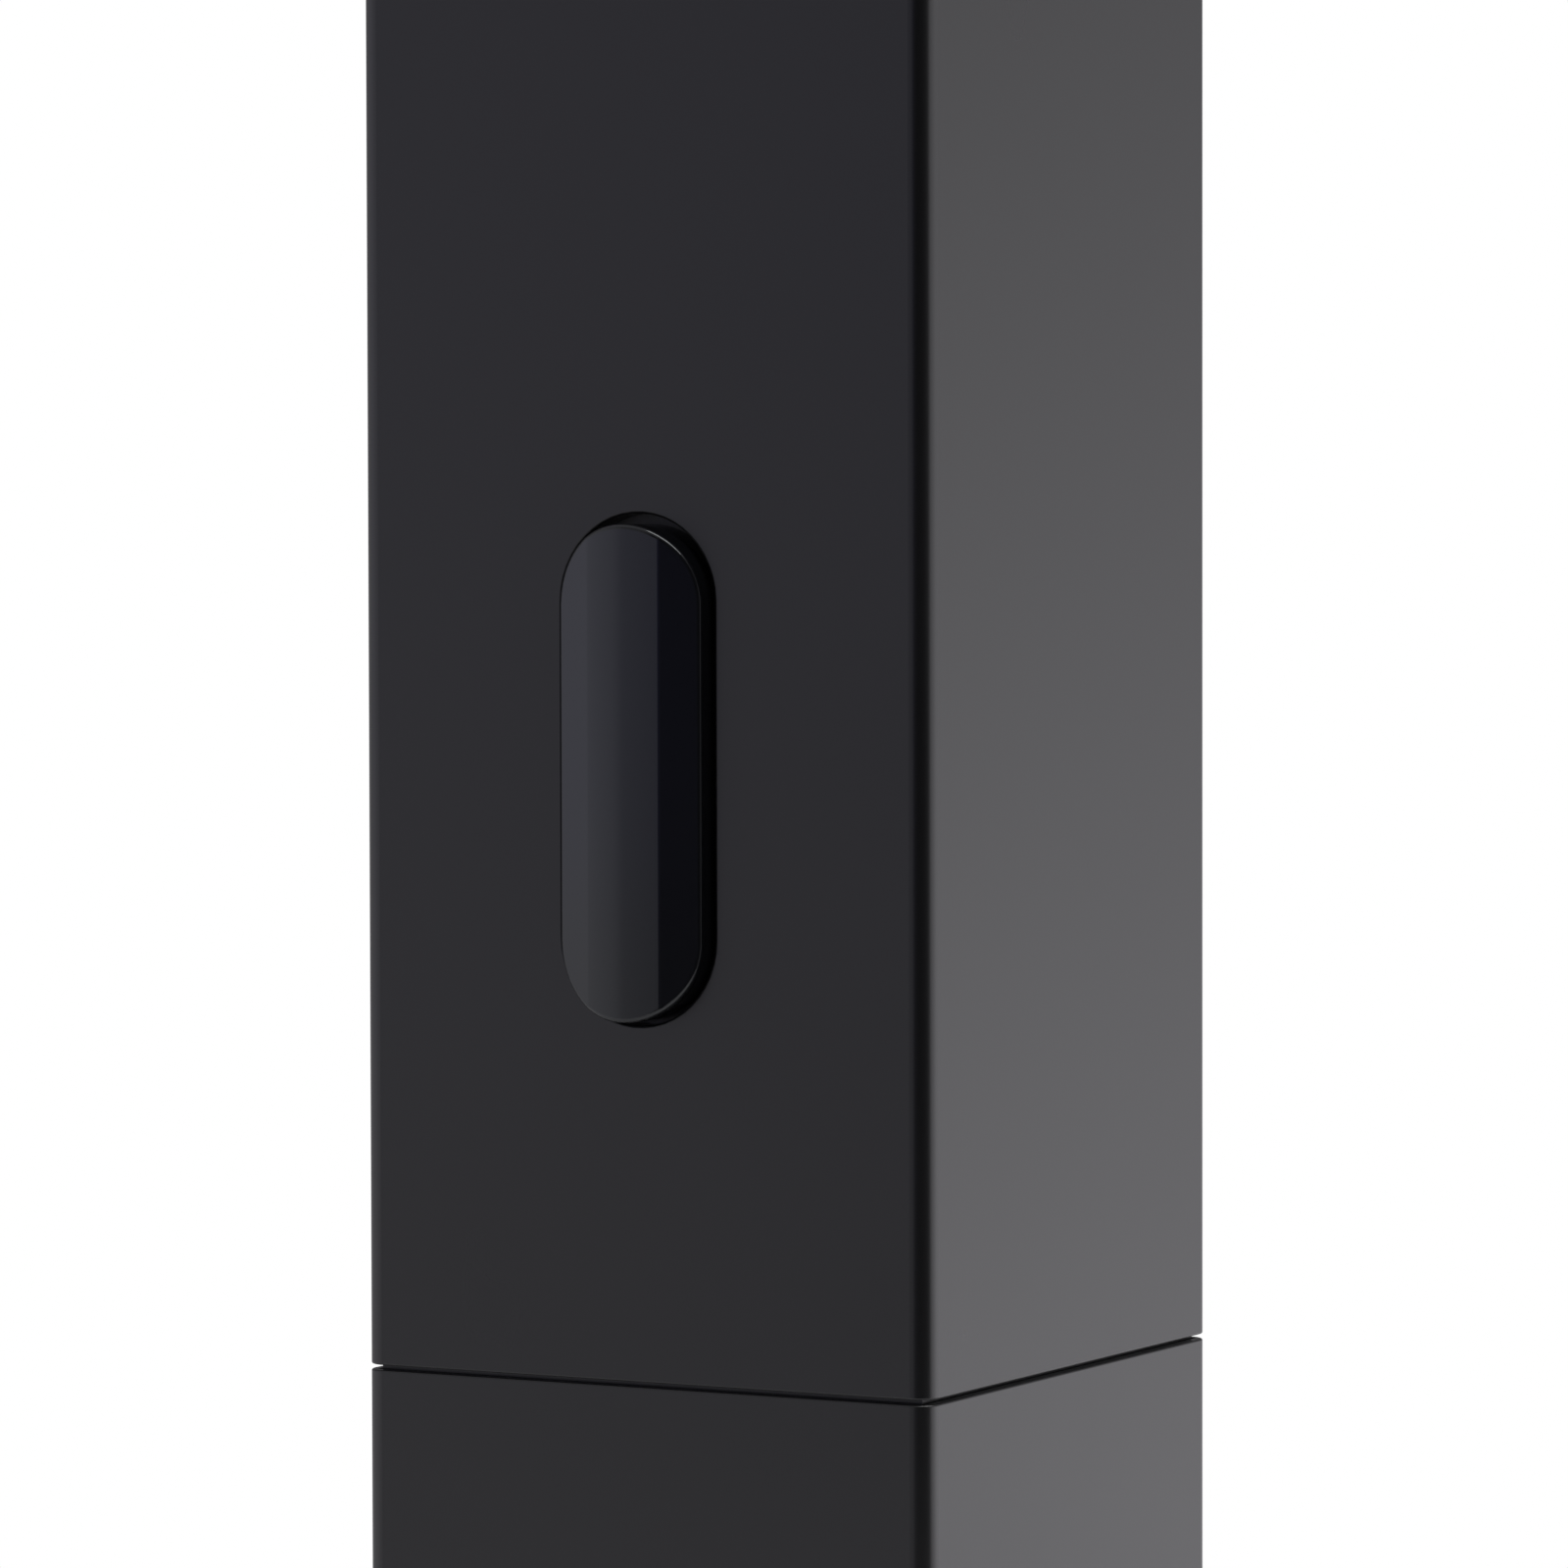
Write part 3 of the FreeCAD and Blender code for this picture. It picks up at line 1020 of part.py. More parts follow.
def main_board():
    """The control board in front of the duct, its four screws and the parts soldered to it."""
    board = block("board_blank", "dims.board_width", "dims.board_thickness", "dims.board_top - dims.board_bottom", 0,
                  "-(dims.board_front - dims.board_thickness / 2)", "dims.board_bottom")
    holes, screws = [], []
    for index, side_x in enumerate((-1, 1)):
        for level, height in enumerate(("dims.board_screw_low", "dims.board_screw_high")):
            x = f"{side_x} * dims.board_screw_reach"
            holes.append(rod(f"board_hole_{index}{level}", "dims.small_screw_radius + dims.screw_play", "4", x,
                             "-(dims.board_front - 3)", height, TO_FRONT))
            head = rod(f"board_head_{index}{level}", "dims.small_screw_head", "1", x, "-dims.board_front", height,
                       TO_FRONT)
            shank = rod(f"board_shank_{index}{level}", "dims.small_screw_radius", "3.4", x,
                        "-(dims.board_front - 3.2)", height, TO_FRONT)
            screws.append(fuse(f"board_screw_{index}{level}", head, shank))
    node(cut("board", board, *holes), "main_board")
    node(group("board_screws", screws), "board_screws")
    node(on_board("led", "1.6", "0.8", "3.2", "0", "dims.button_height + 5"), "status_led")
    node(on_board("chip", "7", "1", "7", "0", "122.5"), "controller_chip")
    node(on_board("coil", "6", "2.8", "6", "6", "82"), "power_inductor")
    cans = [rod(f"can_{index}", "1.5", "2.6", x, "-dims.board_front", z, TO_FRONT)
            for index, (x, z) in enumerate((("9", "124"), ("9", "128"), ("-9", "124"), ("-9", "128")))]
    node(group("capacitors", cans), "capacitors")
    node(on_board("battery_plug", "5", "4", "5", "6.5", "131"), "battery_connector")
    node(on_board("fan_plug", "5", "4", "5", "-6.5", "131"), "fan_connector")
    node(on_board("usb_plug", "5", "4", "5", "-8", "82"), "usb_connector")


def battery():
    """The flat cell on its shelf, the foam tape behind it and the strap round it."""
    cell = new_body("battery_cell")
    outline = sketch_on(cell, "cell_outline", "XY_Plane", "dims.cell_bottom")
    rectangle(outline, "dims.cell_width", "dims.cell_thickness", 0, "dims.cell_front + dims.cell_thickness / 2")
    solid = pad(cell, outline, "dims.cell_height")

    def upright(box):
        return box.XLength + box.YLength < 1e-6
    fillet(cell, edges_where(solid, upright), "2.2")
    tape = block("tape", "22", "dims.cell_front - dims.duct_rear", "50", 0,
                 "(dims.cell_front + dims.duct_rear) / 2", "dims.cell_bottom + 6")
    node(tape, "battery_pad")
    low, height = "dims.cell_bottom + 27", "6"
    rear = "dims.cell_front + dims.cell_thickness + 0.1"
    band = block("strap_band", "dims.cell_width + 1.8", "0.5", height, 0, f"{rear} + 0.25", low)
    legs, feet = [], []
    for index, side_x in enumerate((-1, 1)):
        legs.append(block(f"strap_leg_{index}", "0.6", f"{rear} + 0.3 - dims.duct_rear", height,
                          f"{side_x} * (dims.cell_width / 2 + 0.6)", f"({rear} + 0.3 + dims.duct_rear) / 2", low))
        feet.append(block(f"strap_foot_{index}", "6", "0.5", height, f"{side_x} * (dims.cell_width / 2 - 2.1)",
                          "dims.duct_rear + 0.25", low))
    node(fuse("strap", band, *legs, *feet), "battery_strap")


def usb_socket():
    """The small board on its standoffs, its socket and two screws."""
    top = "dims.usb_height - dims.usb_thickness / 2 - 0.05"
    seat = "(dims.bulkhead_top + dims.standoff_height)"
    blank = block("usb_board_blank", "16.8", "7.9", f"{top} - {seat}", 0, "16.85", seat)
    holes, screws = [], []
    for index, x in enumerate(STANDOFF_PLACES):
        holes.append(rod(f"usb_board_hole_{index}", "dims.small_screw_radius + dims.screw_play", "6", x,
                         "dims.standoff_along", f"{seat} - 2"))
        head = rod(f"usb_head_{index}", "1.3", "0.9", x, "dims.standoff_along", top)
        shank = rod(f"usb_shank_{index}", "dims.small_screw_radius", f"{top} + 0.3 - (dims.bulkhead_top + 0.8)", x,
                    "dims.standoff_along", "dims.bulkhead_top + 0.8")
        screws.append(fuse(f"usb_screw_{index}", head, shank))
    node(cut("usb_board_part", blank, *holes), "usb_board")
    node(group("usb_board_screws", screws), "usb_board_screws")

    shell = new_body("usb_shell")
    outline = sketch_on(shell, "shell_section", "XZ_Plane", "-dims.usb_back")
    stadium(outline, "dims.usb_width", "dims.usb_thickness", 0, "dims.usb_height", upright=False)
    stadium(outline, "dims.usb_width - 2 * dims.usb_shell_wall", "dims.usb_thickness - 2 * dims.usb_shell_wall", 0,
            "dims.usb_height", upright=False)
    pad(shell, outline, "dims.usb_mouth - dims.usb_back", back=True)

    tongue = new_body("usb_tongue")
    plug = sketch_on(tongue, "tongue_base", "XZ_Plane", "-dims.usb_back")
    stadium(plug, "dims.usb_width - 2 * dims.usb_shell_wall - 0.04",
            "dims.usb_thickness - 2 * dims.usb_shell_wall - 0.04", 0, "dims.usb_height", upright=False)
    pad(tongue, plug, "1.6", back=True)
    blade_sketch = sketch_on(tongue, "tongue_blade", "XZ_Plane", "-dims.usb_back")
    rectangle(blade_sketch, "6.7", "0.7", 0, "dims.usb_height")
    pad(tongue, blade_sketch, "dims.usb_mouth - dims.usb_back - 0.8", back=True)


# ---------------------------------------------------------------- wires

def wire_path(points):
    """Straight runs joined by tangent arcs, each as large as its two runs allow."""
    edges = []
    start = points[0]
    for before, corner, after in zip(points, points[1:], points[2:]):
        back, ahead = before - corner, after - corner
        turn = math.pi - back.getAngle(ahead)
        setback = 0.45 * min(back.Length, ahead.Length)
        radius = setback / math.tan(turn / 2)
        print(f"  wire bend radius {radius:.1f} mm")
        first = corner + back.normalize() * setback
        last = corner + ahead.normalize() * setback
        half_turn = (back + ahead).normalize()
        middle = corner + half_turn * (radius / math.cos(turn / 2) - radius)
        edges.append(Part.LineSegment(start, first).toShape())
        edges.append(Part.Arc(first, middle, last).toShape())
        start = last
    edges.append(Part.LineSegment(start, points[-1]).toShape())
    return Part.Wire(edges)


def across_run(shift, run):
    """The part of a shift that is square to a run."""
    way = FreeCAD.Vector(run).normalize()
    return shift - way * shift.dot(way)


def wire_pair(label, places, spread):
    """Two insulated wires side by side along a route, both ending flush with its ends."""
    pieces = []
    radius = value("lead_radius")
    points = [FreeCAD.Vector(*place) for place in places]
    for index, side in enumerate((-0.5, 0.5)):
        shift = FreeCAD.Vector(*spread) * side * value("lead_gap")
        route = [point + shift for point in points]
        route[0] = points[0] + across_run(shift, points[1] - points[0])
        route[-1] = points[-1] + across_run(shift, points[-1] - points[-2])
        path = wire_path(route)
        heading = (route[1] - route[0]).normalize()
        ring = Part.Wire(Part.makeCircle(radius, route[0], heading))
        tube = path.makePipeShell([ring], True, False)
        expected = path.Length * math.pi * radius ** 2
        if abs(tube.Volume / expected - 1) > 0.01:
            raise RuntimeError(f"{label}: the tube's volume is {tube.Volume:.2f}, not {expected:.2f}")
        one = doc.addObject("Part::Feature", f"{label}_{index}")
        one.Shape = tube
        pieces.append(one)
    node(group(label, pieces), label)


def leads():
    """The battery, fan and USB wires, each held between two fixed parts."""
    plug_front = -(value("board_front") + 2)
    side = 17.4
    cell_top = value("cell_bottom") + value("cell_height")
    cell_middle = value("cell_front") + value("cell_thickness") / 2
    wire_pair("battery_leads", [
        (12, cell_middle, cell_top + 0.05), (12, cell_middle, cell_top + 2.5),
        (side - 1, cell_middle - 1, cell_top + 4.5), (side, 6, cell_top + 5), (side, -8, cell_top + 5),
        (side - 1, plug_front, cell_top + 4), (9, plug_front, cell_top - 1), (6.5, plug_front, cell_top - 7),
        (6.5, plug_front, 136.05)], (1, 0, -1))
    wire_pair("fan_leads", [
        (-6.5, plug_front, 136.05), (-6.5, plug_front, 143), (-6.8, -18.4, 151), (-7, -19.9, 159),
        (-7, -20.1, 170), (-7, -20.1, 182)], (1, 0, 0))
    usb_level = value("usb_height") - value("usb_thickness") / 2 - 0.85
    wire_pair("usb_leads", [
        (-8.45, 16, usb_level), (-13, 16, usb_level), (-17, 15, 74), (-side, 12, 79.5), (-side, 2, 82.5),
        (-side, -9, 83.8), (-15.5, plug_front, 84.5), (-10.55, plug_front, 84.5)], (0, 0, 1))


# ---------------------------------------------------------------- the whole object

base_shell()
base_plate()
rubber_pad()
base_screws()
seat_gasket()
prefilter_panels()
magnets("base_magnets", "dims.post_top - dims.magnet_height")
filter_media()
filter_caps()
square_ring("carbon_core", "dims.core_size", "dims.core_hole", "dims.cartridge_bottom + dims.cap_plate",
            "dims.cartridge_top - dims.cap_plate", "5", "3.2")
square_ring("filter_gasket", "29", "22", "dims.cartridge_top", "dims.bulkhead_bottom - 0.4", "7.5", "4")
main_housing()
bulkhead()
intake_guard()
usb_standoffs()
magnets("housing_magnets", "dims.bulkhead_bottom")
housing_screws()
air_duct()
outlet_grille()
fan_gasket()
fan_frame()
fan_screws()
fan_motor()
fan_rotor()
button_cap()
button_carrier()
button_springs()
tact_switch()
main_board()
battery()
usb_socket()
leads()
doc.recompute()

for item in doc.Objects:
    if "Invalid" in item.State or "Error" in item.State:
        raise RuntimeError(f"{item.Label} failed: {item.State}")
os.makedirs("parts", exist_ok=True)
for item in nodes:
    shape = item.Shape
    if shape.isNull() or not shape.isValid() or shape.Volume <= 0:
        raise RuntimeError(f"{item.Label} has no valid solid")
    shape.exportStep(os.path.join("parts", item.Label + ".step"))
    print(f"{item.Label}: {len(shape.Solids)} solid(s), {shape.Volume:.1f} mm3")
print(len(nodes), "nodes")
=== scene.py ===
# %% [markdown]
# # A slim column air purifier, finished in Blender
#
# The shapes come from an engineering model: a square casing 46 mm wide, a slotted base below a
# thin seam, a long pill button, and inside it a filter, a duct, a battery and a small fan. This
# lesson gives every piece its finish, adds the finer pieces that an engineering model leaves out,
# and lights the result the way a small black object is lit for a catalogue. Run the cells from
# top to bottom.

# %% Load the frame
import bpy
import json
import math
from mathutils import Matrix, Vector


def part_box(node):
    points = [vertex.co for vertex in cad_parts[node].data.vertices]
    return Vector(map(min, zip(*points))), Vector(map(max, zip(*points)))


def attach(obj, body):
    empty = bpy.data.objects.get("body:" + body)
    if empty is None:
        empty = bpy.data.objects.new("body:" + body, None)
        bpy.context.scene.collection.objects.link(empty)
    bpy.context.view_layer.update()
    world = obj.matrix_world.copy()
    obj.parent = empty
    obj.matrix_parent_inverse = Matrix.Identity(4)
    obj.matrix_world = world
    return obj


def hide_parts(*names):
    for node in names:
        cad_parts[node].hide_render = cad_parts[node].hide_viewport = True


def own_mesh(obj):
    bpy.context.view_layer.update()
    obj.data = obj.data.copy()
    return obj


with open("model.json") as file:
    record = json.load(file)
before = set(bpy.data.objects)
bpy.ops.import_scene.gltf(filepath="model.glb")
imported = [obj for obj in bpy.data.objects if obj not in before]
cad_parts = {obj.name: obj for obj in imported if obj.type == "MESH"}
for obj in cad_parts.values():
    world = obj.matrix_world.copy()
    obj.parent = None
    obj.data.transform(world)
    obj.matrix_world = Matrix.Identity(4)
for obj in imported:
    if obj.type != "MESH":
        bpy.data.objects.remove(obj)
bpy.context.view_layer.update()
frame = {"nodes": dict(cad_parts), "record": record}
nodes = frame["nodes"]
MM = 0.001

# %% [markdown]
# ## Where things are
#
# Nothing is placed by eye. Each position is read from the boxes of the pieces that are already
# there, so that the finer pieces stay where they belong if the model is packed again with other
# sizes. The seam is the thin dark line between the base and the main unit, 0.37 mm high.

# %% Landmarks
SEAM_GAP = 0.37 * MM
SKIRT_DROP = 0.8 * MM
housing_low, housing_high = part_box("main_housing")
button_low, button_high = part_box("button_cap")
seam_height = housing_low.z + SKIRT_DROP - SEAM_GAP / 2
print(f"side {2 * housing_high.x / MM:.1f} mm, seam {seam_height / MM:.2f} mm, "
      f"button {button_low.z / MM:.1f} to {button_high.z / MM:.1f} mm above the table")

# %% [markdown]
# ## The camera
#
# A long lens half a metre away keeps the column's edges almost parallel and still shows two
# faces. The camera stands a little to the right of the button's face and looks down by two
# degrees. Its place is given from the column's axis and from the seam, which are the two things
# that the eye lines up in such a view.

# %% Camera
CAMERA_PLACE = Vector((232.5 * MM, -429.1 * MM, seam_height + 58.7 * MM))
CAMERA_TURN = math.radians(28.53)
CAMERA_DIP = math.radians(-1.98)
CAMERA_ROLL = math.radians(-0.128)
SENSOR = 36.0
LENS_PER_SENSOR = 4.2319
LENS = LENS_PER_SENSOR * SENSOR
NEAR_CLIP = 0.01
FAR_CLIP = 50


def aim(turn, dip, roll):
    """The camera's rotation from its turn about the column, its dip below level and its roll."""
    level_part = math.cos(dip)
    forward = Vector((-math.sin(turn) * level_part, math.cos(turn) * level_part, math.sin(dip)))
    level = forward.to_track_quat("-Z", "Y").to_matrix()
    return (level @ Matrix.Rotation(roll, 3, "Z")).to_euler()


camera_data = bpy.data.cameras.new("camera")
camera_data.sensor_width = SENSOR
camera_data.lens = LENS
camera_data.clip_start = NEAR_CLIP
camera_data.clip_end = FAR_CLIP
camera = bpy.data.objects.new("camera", camera_data)
camera.location = CAMERA_PLACE
camera.rotation_euler = aim(CAMERA_TURN, CAMERA_DIP, CAMERA_ROLL)
bpy.context.scene.collection.objects.link(camera)
bpy.context.scene.camera = camera
print(f"lens {LENS:.0f} mm, {CAMERA_PLACE.length / MM:.0f} mm from the table's origin")

# %% [markdown]
# ## Shader maths in plain Python
#
# Every finish below is a small calculation: a pattern is scaled, mixed with another and sent to
# the shader. Wiring that by hand takes a page of node code for each finish. So one class wraps a
# node's output and adds a Math node whenever it is added, subtracted or multiplied, and a second
# class stands for the tree that the nodes live in. With both, `0.3 + 0.05 * cloud` is a shader.


# %% Signals
def plug(tree, entry, value):
    """Feed an input from a signal, or set it to a number, a colour or a vector."""
    if isinstance(value, Signal):
        tree.links.new(value.socket, entry)
    elif isinstance(value, tuple) and len(entry.default_value) == 4:
        entry.default_value = (*value, 1.0)
    else:
        entry.default_value = value


class Signal:
    """One output of a node, which takes part in sums as a number does."""

    def __init__(self, tree, socket):
        self.tree = tree
        self.socket = socket

    def maths(self, operation, *values):
        """A Math node on the given values."""
        step = self.tree.nodes.new("ShaderNodeMath")
        step.operation = operation
        for entry, value in zip(step.inputs, values):
            plug(self.tree, entry, value)
        return Signal(self.tree, step.outputs[0])

    def __add__(self, other):
        return self.maths("ADD", self, other)

    def __radd__(self, other):
        return self.maths("ADD", other, self)

    def __sub__(self, other):
        return self.maths("SUBTRACT", self, other)

    def __rsub__(self, other):
        return self.maths("SUBTRACT", other, self)

    def __mul__(self, other):
        return self.maths("MULTIPLY", self, other)

    def __rmul__(self, other):
        return self.maths("MULTIPLY", other, self)

    def largest(self, other):
        """The larger of two values at each point."""
        return self.maths("MAXIMUM", self, other)

    def smallest(self, other):
        """The smaller of two values at each point."""
        return self.maths("MINIMUM", self, other)

    def sine(self):
        """The sine of an angle in radians."""
        return self.maths("SINE", self)

    def root(self):
        """The square root."""
        return self.maths("SQRT", self)

    def size(self):
        """The value without its sign."""
        return self.maths("ABSOLUTE", self)

    def angle_from(self, other):
        """The angle of a point whose two coordinates are this value and another."""
        return self.maths("ARCTAN2", self, other)


print("signals add, subtract and multiply")


# %% Trees
# A Mix node has a set of sockets for each kind of data. These are the places of the colour ones.
FIRST_COLOUR, SECOND_COLOUR, MIXED_COLOUR = 6, 7, 2
HALF_WAY = 0.5


class Tree:
    """A node tree, and the one way in which nodes are added to it."""

    def __init__(self, tree):
        self.tree = tree

    def node(self, kind, settings, inputs, output=0):
        """Add a node: its settings, then the values or links of its sockets. Returns one output."""
        step = self.tree.nodes.new(kind)
        for name, setting in settings.items():
            if name == "stops":
                ramp = step.color_ramp
                while len(ramp.elements) < len(setting):
                    ramp.elements.new(HALF_WAY)
                for element, (place, colour) in zip(ramp.elements, setting):
                    element.position = place
                    element.color = (*colour, 1.0)
            else:
                setattr(step, name, setting)
        for name, value in inputs.items():
            plug(self.tree, step.inputs[name], value)
        return None if output is None else Signal(self.tree, step.outputs[output])

    def blend(self, share, first, second):
        """Mix two colours by a share from 0 to 1."""
        inputs = {"Factor": share, FIRST_COLOUR: first, SECOND_COLOUR: second}
        return self.node("ShaderNodeMix", {"data_type": "RGBA"}, inputs, MIXED_COLOUR)

    def band(self, value, low, high, below=0.0, above=1.0):
        """A smooth step from one value to another while the signal goes from low to high."""
        ends = {"From Min": low, "From Max": high, "To Min": below, "To Max": above}
        settings = {"interpolation_type": "SMOOTHSTEP"}
        return self.node("ShaderNodeMapRange", settings, {"Value": value, **ends})


print("trees take nodes, blends and bands")

# %% [markdown]
# ## The studio
#
# A black object shows little of its own colour: what the eye reads is what it mirrors. So the
# room is planned as a ring of brightness round the column. A soft grey wall stands in front and
# to the left, which the button's face mirrors. A dark stretch in front and to the right draws a
# dark line down the near corner. A bright wall behind and to the right gives the right-hand face
# its lighter grey. The camera itself sees plain white. The room is a world shader rather than a
# set of cards, because cards would stand in the way of other views. Each step of the ring is a
# bearing in degrees, from 0 in front over 90 on the right to 180 behind, and a brightness.

# %% The room's ring of brightness
ROOM_PEAK = 2.0
RING = ((-180, 0.45), (-150, 0.25), (-120, 0.3), (-92, 0.5), (-62, 0.80), (-42, 0.70), (-34, 0.64),
        (-28, 0.47), (-18, 0.43), (-4, 0.38), (4, 0.05), (28, 0.02), (60, 0.03), (84, 0.10),
        (98, 1.25), (128, 1.35), (145, 0.99), (158, 0.6), (170, 0.5), (180, 0.45))

world = bpy.data.worlds.new("studio")
bpy.context.scene.world = world
world.use_nodes = True
world.node_tree.nodes.clear()
room = Tree(world.node_tree)
direction = room.node("ShaderNodeTexCoord", {}, {}, "Generated")
to_right, to_back, to_top = (
    room.node("ShaderNodeSeparateXYZ", {}, {"Vector": direction}, axis) for axis in "XYZ")
bearing = to_right.angle_from(0 - to_back)
ring_stops = [((degrees + 180) / 360, (level / ROOM_PEAK,) * 3) for degrees, level in RING]
round_the_ring = bearing * (0.5 / math.pi) + 0.5
level = room.node("ShaderNodeValToRGB", {"stops": ring_stops}, {"Fac": round_the_ring}) * ROOM_PEAK
print(f"{len(RING)} steps of brightness round the room")

# %% [markdown]
# The wall behind is brighter near the table than above, so the right-hand face lightens
# downwards. Low down in front and on the left there is a trace of blue sky, as from a window,
# which only the polished button is sharp enough to show.

# %% Up and down in the room
WALL_GAIN = 0.2
WALL_FALL = 3.8
WALL_DARKEST = 0.6
WALL_BRIGHTEST = 1.8
ROOM_FALL = 0.6
behind = 1.0 + to_back.largest(0.0) * (WALL_GAIN - WALL_FALL * to_top)
behind = behind.largest(WALL_DARKEST).smallest(WALL_BRIGHTEST)
lower_is_brighter = behind * (1.0 - ROOM_FALL * to_top)

CEILING_EDGE = (0.45, 0.85)
CEILING_LEVEL = 0.55
overhead = room.band(to_top.size(), *CEILING_EDGE)
brightness = level * lower_is_brighter * (1 - overhead) + CEILING_LEVEL * overhead
print("the room is brighter low down and even overhead")

# %% The window's blue, and what the camera sees
SKY_BLUE = (0.03, 0.03, 0.13)
SILL = (-0.056, -0.05)
LINTEL = (0.12, 0.3)
RIGHT_JAMB = (0.02, 0.32)
BACK_JAMB = (-0.3, 0.1)
GREEN_SHARE = 0.985
BLUE_SHARE = 1.035
BLACK = (0.0, 0.0, 0.0)
WHITE = (1.0, 1.0, 1.0)
above_table = room.band(to_top, *SILL) * room.band(to_top, *LINTEL, 1.0, 0.0)
left_side = room.band(to_right, *RIGHT_JAMB, 1.0, 0.0)
front_side = room.band(to_back, *BACK_JAMB, 1.0, 0.0)
shares = {"Red": brightness, "Green": brightness * GREEN_SHARE, "Blue": brightness * BLUE_SHARE}
grey = room.node("ShaderNodeCombineColor", {}, shares)
glow = room.blend(above_table * (left_side * front_side), BLACK, SKY_BLUE)
tinted = room.node("ShaderNodeVectorMath", {"operation": "ADD"}, {0: grey, 1: glow})
seen = room.node("ShaderNodeLightPath", {}, {}, "Is Camera Ray")
shown = room.blend(seen, tinted, WHITE)
lit = room.node("ShaderNodeBackground", {}, {"Color": shown, "Strength": 1.0})
room.node("ShaderNodeOutputWorld", {}, {"Surface": lit}, None)
bpy.context.scene.view_settings.view_transform = "Standard"
print(f"the room has {len(world.node_tree.nodes)} nodes")

# %% [markdown]
# ## The soft lamp overhead
#
# One large square lamp hangs high on the right. It makes the table pale, drops a soft shadow to
# the left of the column, lights the grille from above and draws the thin bright line along the
# upper end of the button.

# %% Overhead lamp
LAMP_BEARING = math.radians(100)
LAMP_RISE = math.radians(68)
LAMP_AWAY = 1.0
LAMP_SIDE = 0.75
LAMP_WATTS = 7.5
lamp_way = Vector((math.sin(LAMP_BEARING) * math.cos(LAMP_RISE),
                   -math.cos(LAMP_BEARING) * math.cos(LAMP_RISE),
                   math.sin(LAMP_RISE)))
lamp_data = bpy.data.lights.new("overhead_lamp", "AREA")
lamp_data.shape = "SQUARE"
lamp_data.size = LAMP_SIDE
lamp_data.energy = LAMP_WATTS
lamp = bpy.data.objects.new("overhead_lamp", lamp_data)
lamp.location = Vector((0, 0, button_low.z)) + LAMP_AWAY * lamp_way
lamp.rotation_euler = (-lamp_way).to_track_quat("-Z", "Y").to_euler()
bpy.context.scene.collection.objects.link(lamp)
print(f"lamp {LAMP_SIDE:.2f} m wide, {LAMP_AWAY:.1f} m from the button")

# %% [markdown]
# ## A finish
#
# Each finish is a principled shader with a few patterns on object coordinates, so that a grain of
# 0.2 mm is 0.2 mm on every piece. Numbers that are the same all over are set on the shader
# itself. What changes over the surface goes through `drive` and `relief`. A flat colour never
# looks moulded, woven or plated: it is the small change in shine and height that tells the
# materials apart.


# %% The finish class
class Finish(Tree):
    """A material: one principled shader, and the patterns that feed it."""

    def __init__(self, slot, colour, roughness, **constants):
        self.material = bpy.data.materials.new(slot)
        self.material.use_nodes = True
        super().__init__(self.material.node_tree)
        self.shader = self.tree.nodes["Principled BSDF"]
        self.drive(**{"Base Color": colour, "Roughness": roughness, **constants})
        self.point = self.node("ShaderNodeTexCoord", {}, {}, "Object")
        finishes[slot] = self

    def drive(self, **inputs):
        """Set or feed the shader's own inputs."""
        for name, value in inputs.items():
            plug(self.tree, self.shader.inputs[name.replace("_", " ")], value)

    def along(self, axis):
        """One coordinate in metres."""
        return self.node("ShaderNodeSeparateXYZ", {}, {"Vector": self.point}, axis)

    def from_axis(self):
        """The distance from the column's upright axis in metres."""
        x, y = self.along("X"), self.along("Y")
        return (x * x + y * y).root()

    def drawn_out(self, x, y, z):
        """The coordinates times a factor on each axis: a small one draws a pattern out that way."""
        return self.node("ShaderNodeMapping", {}, {"Vector": self.point, "Scale": (x, y, z)})

    def cloud(self, size, detail=2.0, point=None):
        """Soft random spots of a size in metres, from 0 to 1."""
        inputs = {"Vector": point or self.point, "Scale": 1 / size, "Detail": detail}
        return self.node("ShaderNodeTexNoise", {}, inputs, "Fac")

    def grains(self, size, output="Distance"):
        """Cells a size in metres apart: how far the middle of each is, or its random colour."""
        inputs = {"Vector": self.point, "Scale": 1 / size}
        return self.node("ShaderNodeTexVoronoi", {}, inputs, output)

    def cell_shade(self, size):
        """One random value from 0 to 1 for each cell."""
        colour = self.grains(size, "Color")
        return self.node("ShaderNodeSeparateColor", {}, {"Color": colour}, "Red")

    def ripple(self, value, pitch):
        """A sine of a pitch in metres along a value, from 0 to 1."""
        return 0.5 + 0.5 * (value * (2 * math.pi / pitch)).sine()

    def relief(self, height, depth):
        """Raise and lower the surface in shading: a height from 0 to 1 times a depth in metres."""
        self.drive(Normal=self.node("ShaderNodeBump", {}, {"Height": height, "Distance": depth}))


finishes = {}
print("finishes can be mixed")

# %% [markdown]
# ## The casing: satin black ABS
#
# The tall casing, the base and the grille are moulded in a tool that was spark eroded very finely
# and then blasted. The grain is about a tenth of a millimetre wide and a few micrometres deep, so
# from half a metre it only softens what the face mirrors. Wide clouds in the roughness stand for
# the way the melt filled the tool and for handling.

# %% Casing
casing = Finish("casing_plastic", (0.0062, 0.0062, 0.0066), 0.28, IOR=1.5)
handling = casing.cloud(22 * MM, 3.0)
flow = casing.cloud(6 * MM, 2.0, casing.drawn_out(1.0, 1.0, 0.15))
grain = casing.cloud(0.16 * MM)
casing.drive(Roughness=0.255 + 0.035 * handling + 0.015 * flow)
casing_dark, casing_light = (0.0054, 0.0054, 0.0057), (0.0072, 0.0072, 0.0078)
casing.drive(Base_Color=casing.blend(handling, casing_dark, casing_light))
casing.relief(grain * 0.6 + flow * 0.4, 0.0025 * MM)
print(f"casing: {len(casing.tree.nodes)} nodes")

